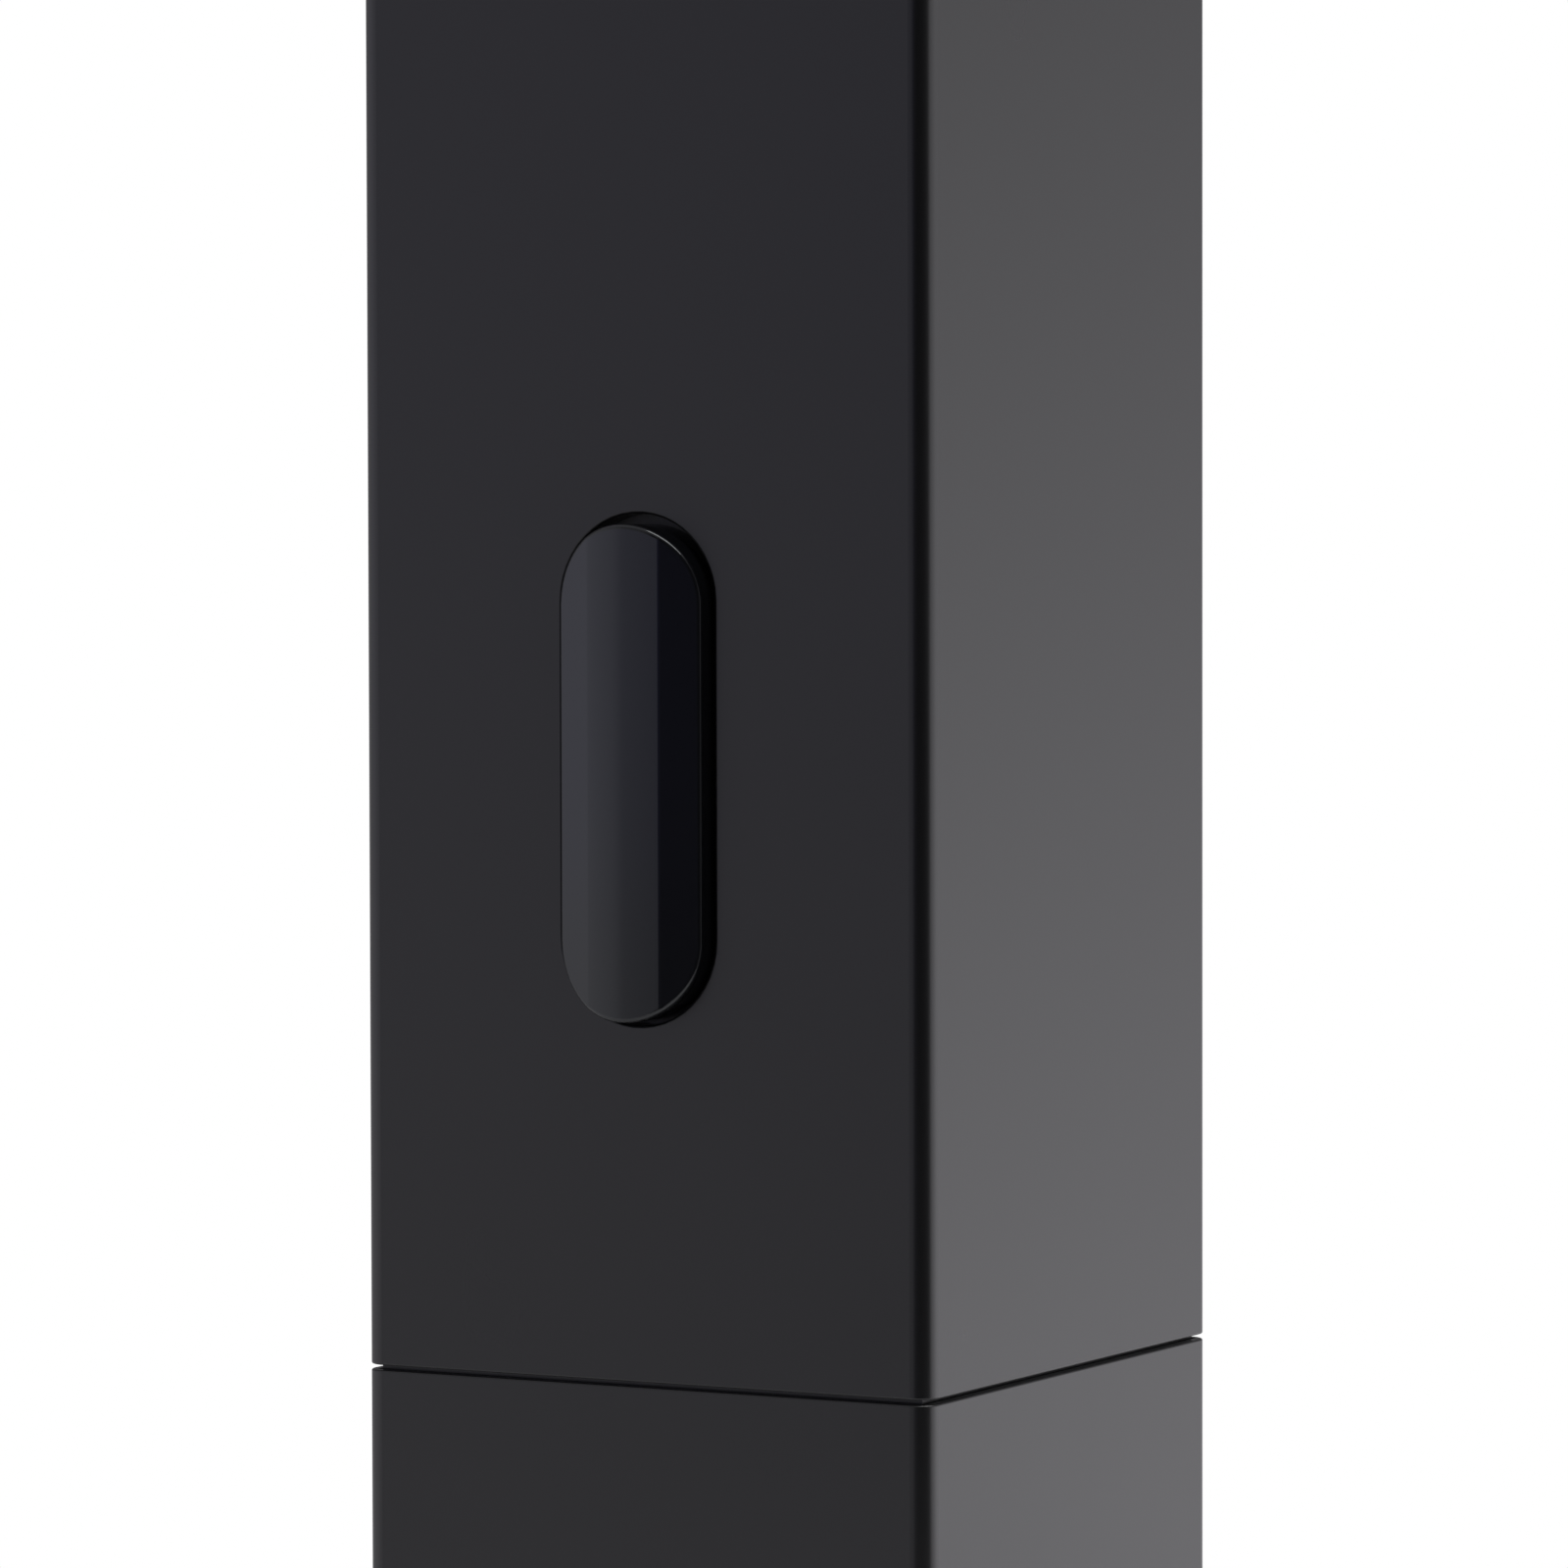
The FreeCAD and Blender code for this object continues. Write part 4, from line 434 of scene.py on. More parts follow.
# %% [markdown]
# ## The button: polished black
#
# The button's tool is polished, so the pill mirrors the room much more sharply than the casing
# round it. A polished moulding is never quite flat: faint long waves from shrinkage bend what it
# mirrors, and a fingertip leaves a film that shows only as a little roughness.

# %% Button
COOL_SHINE = (0.95, 0.98, 1.0)
button = Finish("button_plastic", (0.0048, 0.0050, 0.0062), 0.1, IOR=1.5, Specular_Tint=COOL_SHINE)
film = button.cloud(5 * MM, 4.0)
sink = button.cloud(9 * MM, 1.0, button.drawn_out(1.0, 1.0, 0.4))
button.drive(Roughness=0.085 + 0.05 * film)
button.drive(Base_Color=button.blend(film, (0.0042, 0.0044, 0.0056), (0.0056, 0.0058, 0.0070)))
button.relief(sink, 0.012 * MM)
print(f"button: {len(button.tree.nodes)} nodes")

# %% [markdown]
# ## Plastics inside
#
# The duct, the bulkhead, the fan and the button's carrier are dark grey glass-filled mouldings: a
# coarser grain, a duller shine and pale specks where fibres come to the surface. The filter's
# caps are unfilled off-white ABS with a soft shine, a little yellowed in places.

# %% Grey and off-white mouldings
moulded = Finish("inner_plastic", (0.035, 0.035, 0.037), 0.45)
strewn = moulded.cloud(0.5 * MM, 3.0, moulded.drawn_out(1.0, 1.0, 0.2))
fibres = moulded.band(strewn, 0.6, 0.7)
blush = moulded.cloud(8 * MM, 3.0)
paleness = 0.3 * fibres + 0.2 * blush
moulded.drive(Base_Color=moulded.blend(paleness, (0.030, 0.030, 0.032), (0.085, 0.085, 0.088)))
moulded.drive(Roughness=0.38 + 0.14 * blush)
moulded.relief(moulded.cloud(0.3 * MM), 0.006 * MM)

caps = Finish("white_plastic", (0.75, 0.74, 0.70), 0.35)
caps.drive(Base_Color=caps.blend(caps.cloud(14 * MM, 3.0), (0.70, 0.69, 0.65), (0.80, 0.79, 0.76)))
caps.drive(Roughness=0.30 + 0.12 * caps.cloud(3 * MM))
caps.relief(caps.cloud(0.25 * MM), 0.004 * MM)
print("grey and off-white mouldings")

# %% [markdown]
# ## Paper and carbon
#
# The pleats are a matted paper of fine fibres, with grey dust along the outer folds, where the
# air enters first. The core is a bed of black granules about 0.8 mm across. Only cells can draw
# granules: noise would give clouds. Each cell gets its own grey and stands up round its middle,
# and its colour is darkened towards its edge as painted shade in the gaps between granules.

# %% Paper and carbon
paper = Finish("pleated_paper", (0.82, 0.81, 0.77), 0.9)
matted = paper.cloud(0.35 * MM, 4.0, paper.drawn_out(1.0, 1.0, 0.35))
INNER_FOLDS = 14 * MM
OUTER_FOLDS = 19 * MM
outward = paper.band(paper.from_axis(), INNER_FOLDS, OUTER_FOLDS)
dust = outward * (0.10 + 0.35 * paper.cloud(4 * MM, 3.0))
clean = paper.blend(matted, (0.76, 0.75, 0.70), (0.86, 0.85, 0.81))
paper.drive(Base_Color=paper.blend(dust, clean, (0.42, 0.41, 0.39)))
paper.relief(matted, 0.03 * MM)

carbon = Finish("carbon_granules", (0.02, 0.02, 0.021), 0.6)
GRANULE = 0.8 * MM
granule = carbon.grains(GRANULE)
shade = carbon.cell_shade(GRANULE)
soot_and_gap_shade, graphite = (0.006, 0.006, 0.006), (0.06, 0.06, 0.063)
# Painted shade: each granule's own grey is darkened towards its edge, in the gaps between granules.
carbon.drive(Base_Color=carbon.blend(shade * (1 - granule), soot_and_gap_shade, graphite))
carbon.drive(Roughness=0.35 + 0.5 * shade)
carbon.relief(1 - granule, 0.35 * MM)
print("paper and carbon")

# %% [markdown]
# ## Cloth, foam and rubber
#
# The prefilter's wires are drawn black nylon: smooth, with dust that has settled on them. The
# foam rings are open pores 0.4 mm across: dark inside as painted shade, lighter along the walls
# between them.
# The rubber foot, the fan's gasket and such are matt, with a bloom of pale wax that the rubber
# sweats out.

# %% Cloth, foam and rubber
cloth = Finish("mesh_cloth", (0.045, 0.045, 0.048), 0.5)
lint = cloth.band(cloth.cloud(1.6 * MM, 4.0), 0.55, 0.75)
cloth.drive(Base_Color=cloth.blend(lint, (0.035, 0.035, 0.038), (0.13, 0.125, 0.12)))
cloth.drive(Roughness=0.42 + 0.4 * lint)
cloth.relief(cloth.cloud(0.08 * MM), 0.01 * MM)

foam = Finish("foam", (0.10, 0.10, 0.105), 0.95)
pores = foam.band(foam.grains(0.4 * MM), 0.25, 0.6)
# Painted shade: darker inside each pore, lighter along the walls between the pores.
foam.drive(Base_Color=foam.blend(pores, (0.03, 0.03, 0.032), (0.16, 0.16, 0.165)))
foam.relief(pores, 0.12 * MM)

rubber = Finish("soft_rubber", (0.018, 0.018, 0.019), 0.75)
bloom = rubber.cloud(5 * MM, 4.0)
rubber.drive(Base_Color=rubber.blend(bloom, (0.014, 0.014, 0.015), (0.034, 0.034, 0.035)))
rubber.drive(Roughness=0.66 + 0.2 * bloom)
rubber.relief(rubber.cloud(0.2 * MM, 3.0), 0.012 * MM)
print("cloth, foam and rubber")

# %% [markdown]
# ## Plated and drawn metals
#
# Metals differ by their colour in the shader and by how they were worked. Nickel is bright and
# nearly smooth. Zinc on the screws is a little blue with crystals that catch the light. The black
# screws are oxidised and oily. The springs are drawn wire with fine lines. The bearing is pressed
# from bronze powder and keeps pores, whose darkness is painted shade round the edges of the grains.

# %% Nickel, zinc, black screws and springs
nickel = Finish("nickel", (0.68, 0.66, 0.62), 0.2, Metallic=1.0)
nickel.drive(Roughness=0.16 + 0.14 * nickel.cloud(1.5 * MM, 4.0))
nickel.relief(nickel.cloud(0.6 * MM, 3.0), 0.003 * MM)

zinc = Finish("steel", (0.55, 0.57, 0.60), 0.35, Metallic=1.0)
crystal = zinc.cell_shade(0.7 * MM)
zinc.drive(Base_Color=zinc.blend(crystal, (0.46, 0.48, 0.51), (0.64, 0.65, 0.67)))
zinc.drive(Roughness=0.26 + 0.2 * crystal)
zinc.relief(zinc.cloud(0.3 * MM, 3.0), 0.004 * MM)

blackened = Finish("black_steel", (0.025, 0.025, 0.027), 0.4, Metallic=0.6)
oil = blackened.cloud(0.9 * MM, 3.0)
blackened.drive(Roughness=0.28 + 0.28 * oil)
blackened.drive(Base_Color=blackened.blend(oil, (0.018, 0.018, 0.020), (0.05, 0.048, 0.046)))
blackened.relief(oil, 0.006 * MM)

drawn = Finish("spring_steel", (0.55, 0.55, 0.56), 0.28, Metallic=1.0)
die_lines = drawn.cloud(0.06 * MM, 2.0, drawn.drawn_out(1.0, 4.0, 1.0))
drawn.drive(Roughness=0.20 + 0.2 * die_lines)
drawn.drive(Base_Color=drawn.blend(drawn.cloud(1.2 * MM), (0.46, 0.46, 0.47), (0.62, 0.61, 0.60)))
drawn.relief(die_lines, 0.002 * MM)
print("four steels")

# %% Bronze, aluminium and foil
bronze = Finish("bronze", (0.58, 0.38, 0.17), 0.38, Metallic=1.0)
powder = bronze.band(bronze.grains(0.12 * MM), 0.15, 0.5)
# Painted shade: each powder grain is darker towards its edge, in the pores between grains.
bronze.drive(Base_Color=bronze.blend(powder, (0.66, 0.45, 0.20), (0.42, 0.26, 0.11)))
bronze.drive(Roughness=0.28 + 0.2 * powder)
bronze.relief(1 - powder, 0.006 * MM)

cans = Finish("can_aluminium", (0.72, 0.72, 0.73), 0.3, Metallic=0.9)
rolling = cans.cloud(0.2 * MM, 2.0, cans.drawn_out(1.0, 0.08, 1.0))
cans.drive(Roughness=0.24 + 0.16 * rolling)
cans.drive(Base_Color=cans.blend(cans.cloud(3 * MM), (0.66, 0.66, 0.67), (0.78, 0.78, 0.79)))
cans.relief(rolling, 0.003 * MM)

foil = Finish("cell_foil", (0.55, 0.56, 0.58), 0.32, Metallic=0.85)
wrinkle = foil.cloud(3.5 * MM, 3.0, foil.drawn_out(1.0, 1.0, 0.5))
foil.drive(Roughness=0.24 + 0.2 * foil.cloud(1.1 * MM, 3.0))
foil.drive(Base_Color=foil.blend(wrinkle, (0.50, 0.51, 0.53), (0.62, 0.63, 0.65)))
foil.relief(wrinkle, 0.10 * MM)
print("bronze, aluminium and foil")

# %% [markdown]
# ## Boards and what is soldered to them
#
# A board is green lacquer over a copper pattern. The copper shows as a lighter green and stands
# 0.03 mm higher. Real tracks run straight and turn at corners, so they are drawn from two sets of
# stripes that random blocks switch on and off, and pale dots of solder sit on a grid between
# them.

# %% Board
board = Finish("board_green", (0.01, 0.11, 0.045), 0.22, Coat_Weight=0.35, Coat_Roughness=0.08)
up, across = board.along("Z"), board.along("X") + board.along("Y")
TRACK_PITCH = 1.3 * MM
TRACK_EDGE = (0.55, 0.62)
BLOCK = 4.5 * MM
PAD_PITCH = 2.54 * MM
stripes_up = board.band(board.ripple(across, TRACK_PITCH), *TRACK_EDGE)
stripes_across = board.band(board.ripple(up, TRACK_PITCH), *TRACK_EDGE)
choose = board.band(board.cell_shade(BLOCK), 0.49, 0.51)
track = stripes_up * choose + stripes_across * (1 - choose)
pads = board.band(board.ripple(across, PAD_PITCH) * board.ripple(up, PAD_PITCH), 0.93, 0.955)
lacquer = board.blend(track, (0.006, 0.075, 0.030), (0.012, 0.16, 0.060))
board.drive(Base_Color=board.blend(pads, lacquer, (0.60, 0.60, 0.58)))
board.drive(Roughness=0.16 + 0.10 * board.cloud(2 * MM), Metallic=0.8 * pads)
board.relief(track.largest(pads), 0.03 * MM)
print(f"board: {len(board.tree.nodes)} nodes")

# %% [markdown]
# Chips are black epoxy with fine silica in it, matt from the mould. The inductor's ferrite is a
# fired powder, grey and a little sparkling, with painted shade darkening the edges of its grains.
# Connectors are cream nylon, which lets some light in. The fan's ring magnet is bonded powder,
# its grains also darkened at their edges as painted shade.

# %% Chips, ferrite, nylon and magnet
epoxy = Finish("chip_black", (0.017, 0.017, 0.019), 0.5)
silica = epoxy.cloud(0.1 * MM, 3.0)
epoxy.drive(Base_Color=epoxy.blend(silica, (0.012, 0.012, 0.013), (0.030, 0.030, 0.033)))
epoxy.drive(Roughness=0.44 + 0.16 * epoxy.cloud(1.2 * MM))
epoxy.relief(silica, 0.008 * MM)

ferrite = Finish("ferrite", (0.09, 0.09, 0.095), 0.5)
fired = ferrite.grains(0.15 * MM)
# Painted shade: each fired grain is darker towards its edge, in the gaps between grains.
ferrite.drive(Base_Color=ferrite.blend(fired, (0.13, 0.13, 0.135), (0.05, 0.05, 0.052)))
ferrite.drive(Roughness=0.38 + 0.25 * fired)
ferrite.relief(1 - fired, 0.012 * MM)

nylon = Finish("connector_nylon", (0.80, 0.76, 0.64), 0.4,
               Subsurface_Weight=0.15, Subsurface_Scale=0.001)
haze = nylon.cloud(2.5 * MM, 3.0)
nylon.drive(Base_Color=nylon.blend(haze, (0.74, 0.69, 0.56), (0.84, 0.81, 0.71)))
nylon.drive(Roughness=0.34 + 0.14 * haze)
nylon.relief(nylon.cloud(0.2 * MM), 0.004 * MM)

magnet = Finish("magnet_ferrite", (0.05, 0.05, 0.052), 0.6)
pressed = magnet.grains(0.2 * MM)
# Painted shade: each pressed grain is darker towards its edge, in the gaps between grains.
magnet.drive(Base_Color=magnet.blend(pressed, (0.065, 0.063, 0.062), (0.030, 0.030, 0.031)))
magnet.drive(Roughness=0.5 + 0.2 * pressed)
magnet.relief(1 - pressed, 0.01 * MM)
print("chips, ferrite, nylon and magnet")

# %% [markdown]
# ## Windings, wires and the lamp of the status light
#
# The stator is a stack of laminations with enamelled copper wound round it. Rings of fine ridges
# round the axis draw the turns of wire, and thin dark lines across draw the laminations. The
# leads are coloured PVC: smooth, with a faint waviness from the conductor's strands. The status
# light's body is clear epoxy, slightly frosted.

# %% Windings, wires and lens
windings = Finish("stator_iron", (0.30, 0.13, 0.05), 0.35, Metallic=0.6)
turns = windings.ripple(windings.from_axis(), 0.25 * MM)
layers = windings.ripple(windings.along("Z"), 0.35 * MM)
shadowed, enamel = (0.16, 0.06, 0.025), (0.50, 0.22, 0.09)
windings.drive(Base_Color=windings.blend(turns * layers, shadowed, enamel))
windings.drive(Roughness=0.25 + 0.2 * layers)
windings.relief(turns * 0.5 + layers * 0.5, 0.05 * MM)


def insulation(slot, dark, light):
    """The finish of a lead's coloured insulation."""
    lead = Finish(slot, light, 0.35)
    strands = lead.cloud(0.8 * MM, 2.0)
    lead.drive(Base_Color=lead.blend(strands, dark, light))
    lead.drive(Roughness=0.28 + 0.2 * lead.cloud(2.5 * MM))
    lead.relief(strands, 0.02 * MM)


insulation("wire_red", (0.36, 0.012, 0.012), (0.52, 0.03, 0.025))
insulation("wire_grey", (0.16, 0.16, 0.165), (0.28, 0.28, 0.29))

lens = Finish("led_lens", (0.80, 0.83, 0.86), 0.2, Transmission_Weight=0.6, IOR=1.5)
frost = lens.cloud(0.3 * MM, 3.0)
lens.drive(Base_Color=lens.blend(frost, (0.74, 0.77, 0.80), (0.88, 0.90, 0.92)))
lens.drive(Roughness=0.12 + 0.25 * frost)
lens.relief(frost, 0.003 * MM)
print(f"{len(finishes)} finishes in all")

# %% [markdown]
# ## Dress the pieces of the engineering model
#
# The model's record names a slot for each piece. The same slots name the finishes, so that one
# loop dresses them all.

# %% Dress the pieces
dressed = 0
for row in frame["record"]["subparts"]:
    for place in nodes[row["node"]].material_slots:
        place.material = finishes[row["material_slot"]].material
        dressed += 1
print(f"{dressed} places dressed")

# %% [markdown]
# ## Modelling by hand, in code
#
# The finer pieces are modelled as at the keyboard: a primitive is added, shaped in edit mode and
# finished with modifiers. An operator works on whatever is selected, so each piece starts with
# nothing selected, and faces are picked by where they lie. At the end the piece is moved to its
# place, and its place is applied to its mesh.


# %% Helpers for modelling
SELECT_MODES = {"vertices": "VERT", "edges": "EDGE", "polygons": "FACE"}
SAME_PLACE = 0.001 * MM


def begin():
    """Select nothing, so that the next operator touches only the new piece."""
    bpy.ops.object.select_all(action="DESELECT")


def edit():
    """Go into edit mode with everything selected."""
    bpy.ops.object.mode_set(mode="EDIT")
    bpy.ops.mesh.select_all(action="SELECT")


def leave():
    """Come back from edit mode."""
    bpy.ops.object.mode_set(mode="OBJECT")


def pick(piece, kind, wanted):
    """Select only the faces, edges or vertices that pass a test."""
    bpy.ops.object.mode_set(mode="EDIT")
    bpy.ops.mesh.select_mode(type=SELECT_MODES[kind])
    bpy.ops.mesh.select_all(action="DESELECT")
    bpy.ops.object.mode_set(mode="OBJECT")
    for item in getattr(piece.data, kind):
        item.select = bool(wanted(item))
    bpy.ops.object.mode_set(mode="EDIT")


def modify(piece, kind, **settings):
    """Add a modifier with its settings and apply it."""
    modifier = piece.modifiers.new(kind.lower(), kind)
    for name, value in settings.items():
        setattr(modifier, name, value)
    bpy.ops.object.modifier_apply(modifier=modifier.name)


def put(piece, place, turn=(0, 0, 0)):
    """Turn the piece, move it to its place, and leave the object itself at the origin."""
    piece.location = place
    piece.rotation_euler = turn
    bpy.ops.object.transform_apply(location=True, rotation=True, scale=True)


def join(pieces):
    """Make one object of several, merge its doubles and turn its faces outwards."""
    begin()
    for piece in pieces:
        piece.select_set(True)
    bpy.context.view_layer.objects.active = pieces[0]
    if len(pieces) > 1:
        bpy.ops.object.join()
    edit()
    bpy.ops.mesh.remove_doubles(threshold=SAME_PLACE)
    bpy.ops.mesh.normals_make_consistent(inside=False)
    leave()
    return pieces[0]


def copy_of(piece, place, turn=(0, 0, 0)):
    """A copy with its own mesh, put at its place."""
    begin()
    piece.select_set(True)
    bpy.context.view_layer.objects.active = piece
    bpy.ops.object.duplicate()
    put(bpy.context.object, place, turn)
    return bpy.context.object


def hand_over(piece, name, body, slot, smooth=40):
    """Name a finished piece, give it its finish and fix it to the body it moves with.

    Edges that turn by more than `smooth` degrees stay sharp.
    """
    bpy.ops.object.shade_smooth_by_angle(angle=math.radians(smooth))
    piece.name = piece.data.name = name
    piece.data.materials.clear()
    piece.data.materials.append(finishes[slot].material)
    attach(piece, body)
    faces = sum(len(face.vertices) - 2 for face in piece.data.polygons)
    print(f"{name}: {faces} triangles")


print("the bench is ready")

# %% [markdown]
# ## The prefilter's mesh
#
# Behind the slots stand four panels of fine net that stop hair and lint. They are plain weave:
# every wire goes over one neighbour and under the next. A picture of a net would be flat, and a
# net of cylinders would be heavy. Here a flat grid has every second corner raised, and the
# Wireframe modifier makes a thin bar of each edge, so the bars rise and dip as woven wires do. A
# narrow welded border holds the net.

# %% One panel
NET_PITCH = 1.15 * MM
NET_WIRE = 0.34 * MM
NET_WAVE = 0.07 * MM
BORDER = 1.3 * MM
BORDER_THICK = 0.5 * MM
BORDER_ROUNDING = 0.1 * MM
PANEL_WIDTH = 26 * MM
panel_low, panel_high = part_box("prefilter_panels")
panel_height = panel_high.z - panel_low.z
panel_middle = (panel_high.z + panel_low.z) / 2
panel_out = panel_high.x - BORDER_THICK / 2
net_width, net_height = PANEL_WIDTH - BORDER, panel_height - BORDER
columns, rows = round(net_width / NET_PITCH), round(net_height / NET_PITCH)
wide, tall = net_width / columns, net_height / rows


def every_second(corner):
    """Whether a corner of the grid is one that the wires go over."""
    column = corner.co.x / wide + columns / 2
    return round(column + corner.co.y / tall + rows / 2) % 2



begin()
bpy.ops.mesh.primitive_grid_add(x_subdivisions=columns, y_subdivisions=rows, size=1)
net = bpy.context.object
edit()
bpy.ops.transform.resize(value=(net_width, net_height, 1))
leave()
pick(net, "vertices", every_second)
bpy.ops.transform.translate(value=(0, 0, NET_WAVE))
leave()
modify(net, "WIREFRAME", thickness=NET_WIRE, use_even_offset=False)
print(f"net of {columns} by {rows} meshes, {len(net.data.polygons)} faces")

# %% Its border
begin()
bpy.ops.mesh.primitive_plane_add(size=1)
border = bpy.context.object
edit()
bpy.ops.transform.resize(value=(PANEL_WIDTH, panel_height, 1))
bpy.ops.mesh.inset(thickness=BORDER)
bpy.ops.mesh.delete(type="FACE")
leave()
modify(border, "SOLIDIFY", thickness=BORDER_THICK, offset=0)
modify(border, "BEVEL", width=BORDER_ROUNDING, segments=2, limit_method="ANGLE")
panel = join([net, border])
print(f"one panel: {len(panel.data.polygons)} faces")

# %% Four panels round the cartridge
QUARTER = math.pi / 2
sides = []
for bearing_of_side in (k * QUARTER for k in range(4)):
    across_x, across_y = math.sin(bearing_of_side), math.cos(bearing_of_side)
    place = (panel_out * across_x, -panel_out * across_y, panel_middle)
    sides.append(copy_of(panel, place, (QUARTER, 0, bearing_of_side)))
bpy.data.objects.remove(panel)
panels = join(sides)
hand_over(panels, "prefilter_nets", "base", "mesh_cloth")
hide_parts("prefilter_panels")

# %% [markdown]
# ## The button's springs
#
# Two small compression springs push the button back. A spring is one round wire swept along a
# helix, which is what the Screw modifier does: a small circle stands beside the axis and is
# turned and lifted at once. The ends are then closed.

# %% Springs
WIRE = 0.2 * MM
WIRE_SIDES = 12
COIL_RADIUS = 1.25 * MM
TURNS = 5
STEPS = 28
spring_low, spring_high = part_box("button_springs")
spring_length = spring_high.y - spring_low.y
spring_top = spring_high.z - COIL_RADIUS - WIRE / 2
spring_foot = spring_low.z + COIL_RADIUS + WIRE / 2

begin()
bpy.ops.mesh.primitive_circle_add(vertices=WIRE_SIDES, radius=WIRE / 2, fill_type="NOTHING")
coil = bpy.context.object
edit()
bpy.ops.transform.translate(value=(COIL_RADIUS, 0, 0))
leave()
modify(coil, "SCREW", axis="Y", angle=2 * math.pi, iterations=TURNS,
       screw_offset=(spring_length - WIRE) / TURNS, steps=STEPS, render_steps=STEPS,
       use_merge_vertices=True, merge_threshold=SAME_PLACE)
edit()
bpy.ops.mesh.fill_holes(sides=0)
leave()
start = spring_low.y + WIRE / 2
springs = [copy_of(coil, (0, start, height)) for height in (spring_foot, spring_top)]
bpy.data.objects.remove(coil)
pair = join(springs)
hand_over(pair, "coil_springs", "main_unit", "spring_steel")
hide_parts("button_springs")
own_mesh(pair)

# %% [markdown]
# ## The cage inside the carbon core
#
# Loose granules need a wall on the clean side that lets air through. It is a tube of welded
# plastic net. A cylinder without ends is cut into rows, and the Wireframe modifier turns its
# edges into bars, as for the panels.

# %% Cage
CAGE_WIRE = 0.4 * MM
CAGE_ROWS = 30
CAGE_COLUMNS = 40
CORE_HOLE = 9.6 * MM
core_low, core_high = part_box("carbon_core")
cage_height = core_high.z - core_low.z - 2 * CAGE_WIRE

begin()
bpy.ops.mesh.primitive_cylinder_add(vertices=CAGE_COLUMNS, radius=CORE_HOLE - CAGE_WIRE / 2,
                                    depth=cage_height, end_fill_type="NOTHING")
cage = bpy.context.object


def upright(edge):
    """Whether an edge of the cage runs from its foot to its top."""
    foot, top = (cage.data.vertices[corner].co.z for corner in edge.vertices)
    return abs(foot - top) > cage_height / 2


pick(cage, "edges", upright)
bpy.ops.mesh.subdivide(number_cuts=CAGE_ROWS - 1)
leave()
modify(cage, "WIREFRAME", thickness=CAGE_WIRE, use_even_offset=False)
put(cage, (0, 0, (core_low.z + core_high.z) / 2))
cage = join([cage])
hand_over(cage, "core_cage", "filter_cartridge", "inner_plastic")

# %% [markdown]
# ## The label on the fan
#
# The motor's hub carries a thin foil disc that closes the bearing's cup. Through the grille it is
# the one bright spot in the dark. It is a flat cylinder whose rim is rolled over and whose middle
# is pressed down a little. It is left blank.

# %% Fan label
LABEL_RADIUS = 9.2 * MM
LABEL_THICK = 0.12 * MM
LABEL_RIM = 0.7 * MM
LABEL_DIP = 0.03 * MM
GROOVE_IN = 3.2 * MM
GROOVE_WIDE = 0.4 * MM
GROOVE_DEEP = 0.02 * MM
LABEL_ROUNDING = 0.02 * MM
ROUND = 96
hub_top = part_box("fan_frame")[1].z

begin()
bpy.ops.mesh.primitive_cylinder_add(vertices=ROUND, radius=LABEL_RADIUS, depth=LABEL_THICK)
label = bpy.context.object
pick(label, "polygons", lambda face: face.normal.z > 0.9)
bpy.ops.mesh.inset(thickness=LABEL_RIM)
bpy.ops.transform.translate(value=(0, 0, -LABEL_DIP))
bpy.ops.mesh.inset(thickness=GROOVE_IN)
bpy.ops.mesh.inset(thickness=GROOVE_WIDE)
bpy.ops.transform.translate(value=(0, 0, -GROOVE_DEEP))
leave()
modify(label, "BEVEL", width=LABEL_ROUNDING, segments=2, limit_method="ANGLE")
put(label, (0, 0, hub_top + LABEL_THICK / 2))
label = join([label])
hand_over(label, "fan_label", "main_unit", "can_aluminium", smooth=25)

# %% [markdown]
# ## Contacts in the socket
#
# The charging socket's tongue carries twelve gilded contacts on each side. One contact is a flat
# bar with its front edge rounded down, so that the plug rides up on it. It is modelled once and
# copied along both faces.

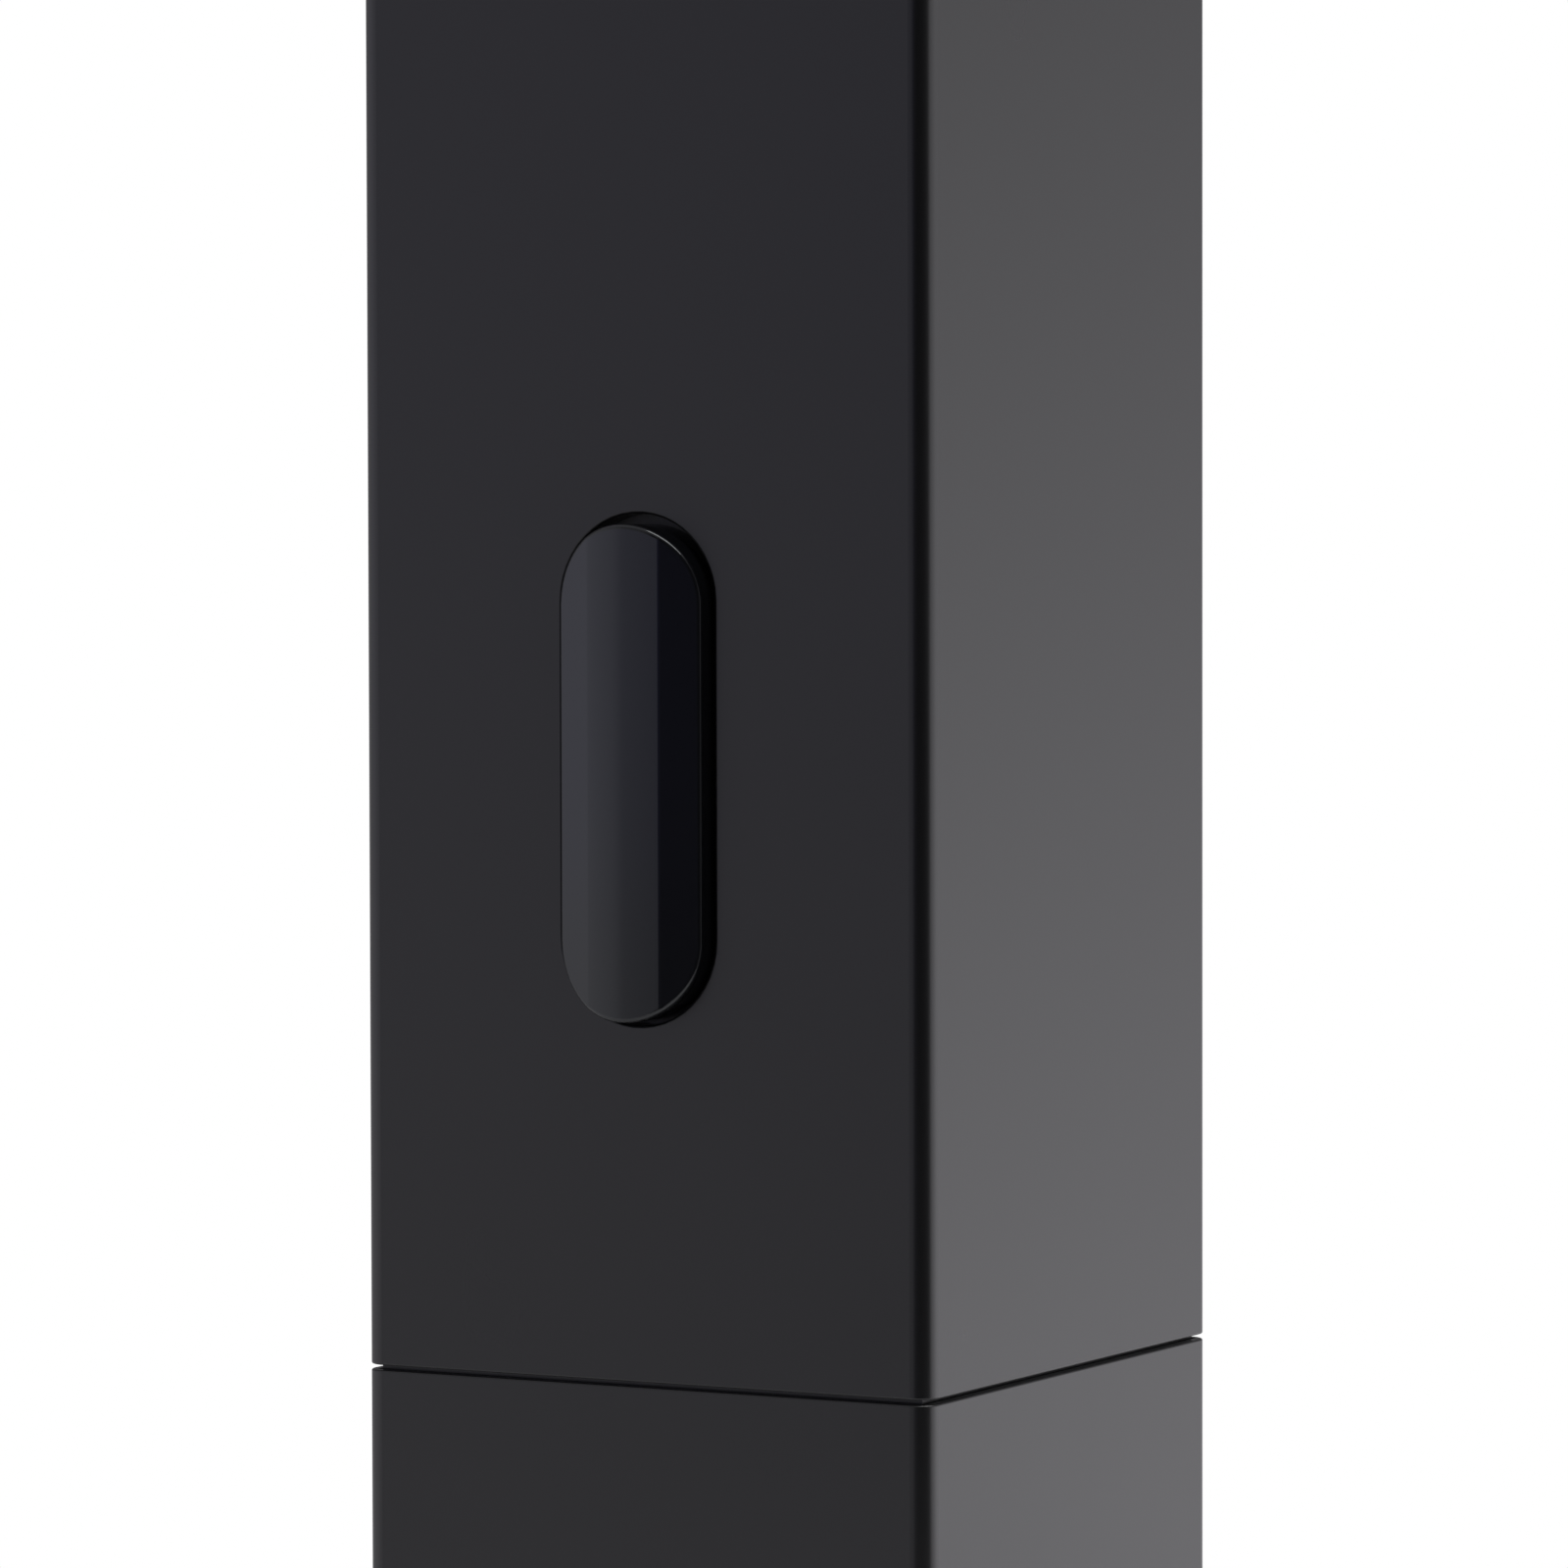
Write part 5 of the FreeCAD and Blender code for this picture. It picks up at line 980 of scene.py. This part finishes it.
# %% Contacts
CONTACT_SIZE = (0.25 * MM, 3.6 * MM, 0.05 * MM)
CONTACT_PITCH = 0.5 * MM
CONTACT_COUNT = 12
CONTACT_BACK = 0.7 * MM
CONTACT_ROUNDING = 0.03 * MM
CONTACT_SUNK = 0.01 * MM
tongue_low, tongue_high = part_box("usb_tongue")
contact_y = tongue_high.y - CONTACT_BACK - CONTACT_SIZE[1] / 2

begin()
bpy.ops.mesh.primitive_cube_add(size=1)
contact = bpy.context.object
edit()
bpy.ops.transform.resize(value=CONTACT_SIZE)
leave()


def top_of_the_front(edge):
    """Whether an edge of the contact is the upper one at its front."""
    ends = [contact.data.vertices[corner].co for corner in edge.vertices]
    return all(end.z > 0 and end.y > 0 for end in ends)


pick(contact, "edges", top_of_the_front)
bpy.ops.mesh.bevel(offset=CONTACT_ROUNDING, segments=3)
leave()
row = [(k - (CONTACT_COUNT - 1) / 2) * CONTACT_PITCH for k in range(CONTACT_COUNT)]
upper = tongue_high.z + CONTACT_SIZE[2] / 2 - CONTACT_SUNK
lower = tongue_low.z - CONTACT_SIZE[2] / 2 + CONTACT_SUNK
bars = [copy_of(contact, (x, contact_y, upper)) for x in row]
bars += [copy_of(contact, (x, contact_y, lower), (0, math.pi, 0)) for x in row]
bpy.data.objects.remove(contact)
hand_over(join(bars), "socket_contacts", "main_unit", "bronze")

# %% [markdown]
# ## The table
#
# The column stands on a plain pale table top. It is a disc that fades out before it would draw a
# horizon behind the column, so that the background stays an even white.

# %% Table
TABLE_RADIUS = 260 * MM
FADE_FROM = 140 * MM
FADE_TO = 240 * MM
begin()
bpy.ops.mesh.primitive_circle_add(vertices=ROUND, radius=TABLE_RADIUS, fill_type="NGON")
table_top = bpy.context.object
table_top.name = "table_top"
pale = Finish("table_top", (0.86, 0.86, 0.86), 0.6)
cleared = pale.band(pale.from_axis(), FADE_FROM, FADE_TO)
see_through = pale.node("ShaderNodeBsdfTransparent", {}, {})
solid = Signal(pale.tree, pale.shader.outputs["BSDF"])
faded = pale.node("ShaderNodeMixShader", {}, {0: cleared, 1: solid, 2: see_through})
plug(pale.tree, pale.tree.nodes["Material Output"].inputs["Surface"], faded)
pale.relief(pale.cloud(1.5 * MM, 3.0), 0.01 * MM)
table_top.data.materials.append(pale.material)
print(f"table {2 * TABLE_RADIUS:.2f} m across")
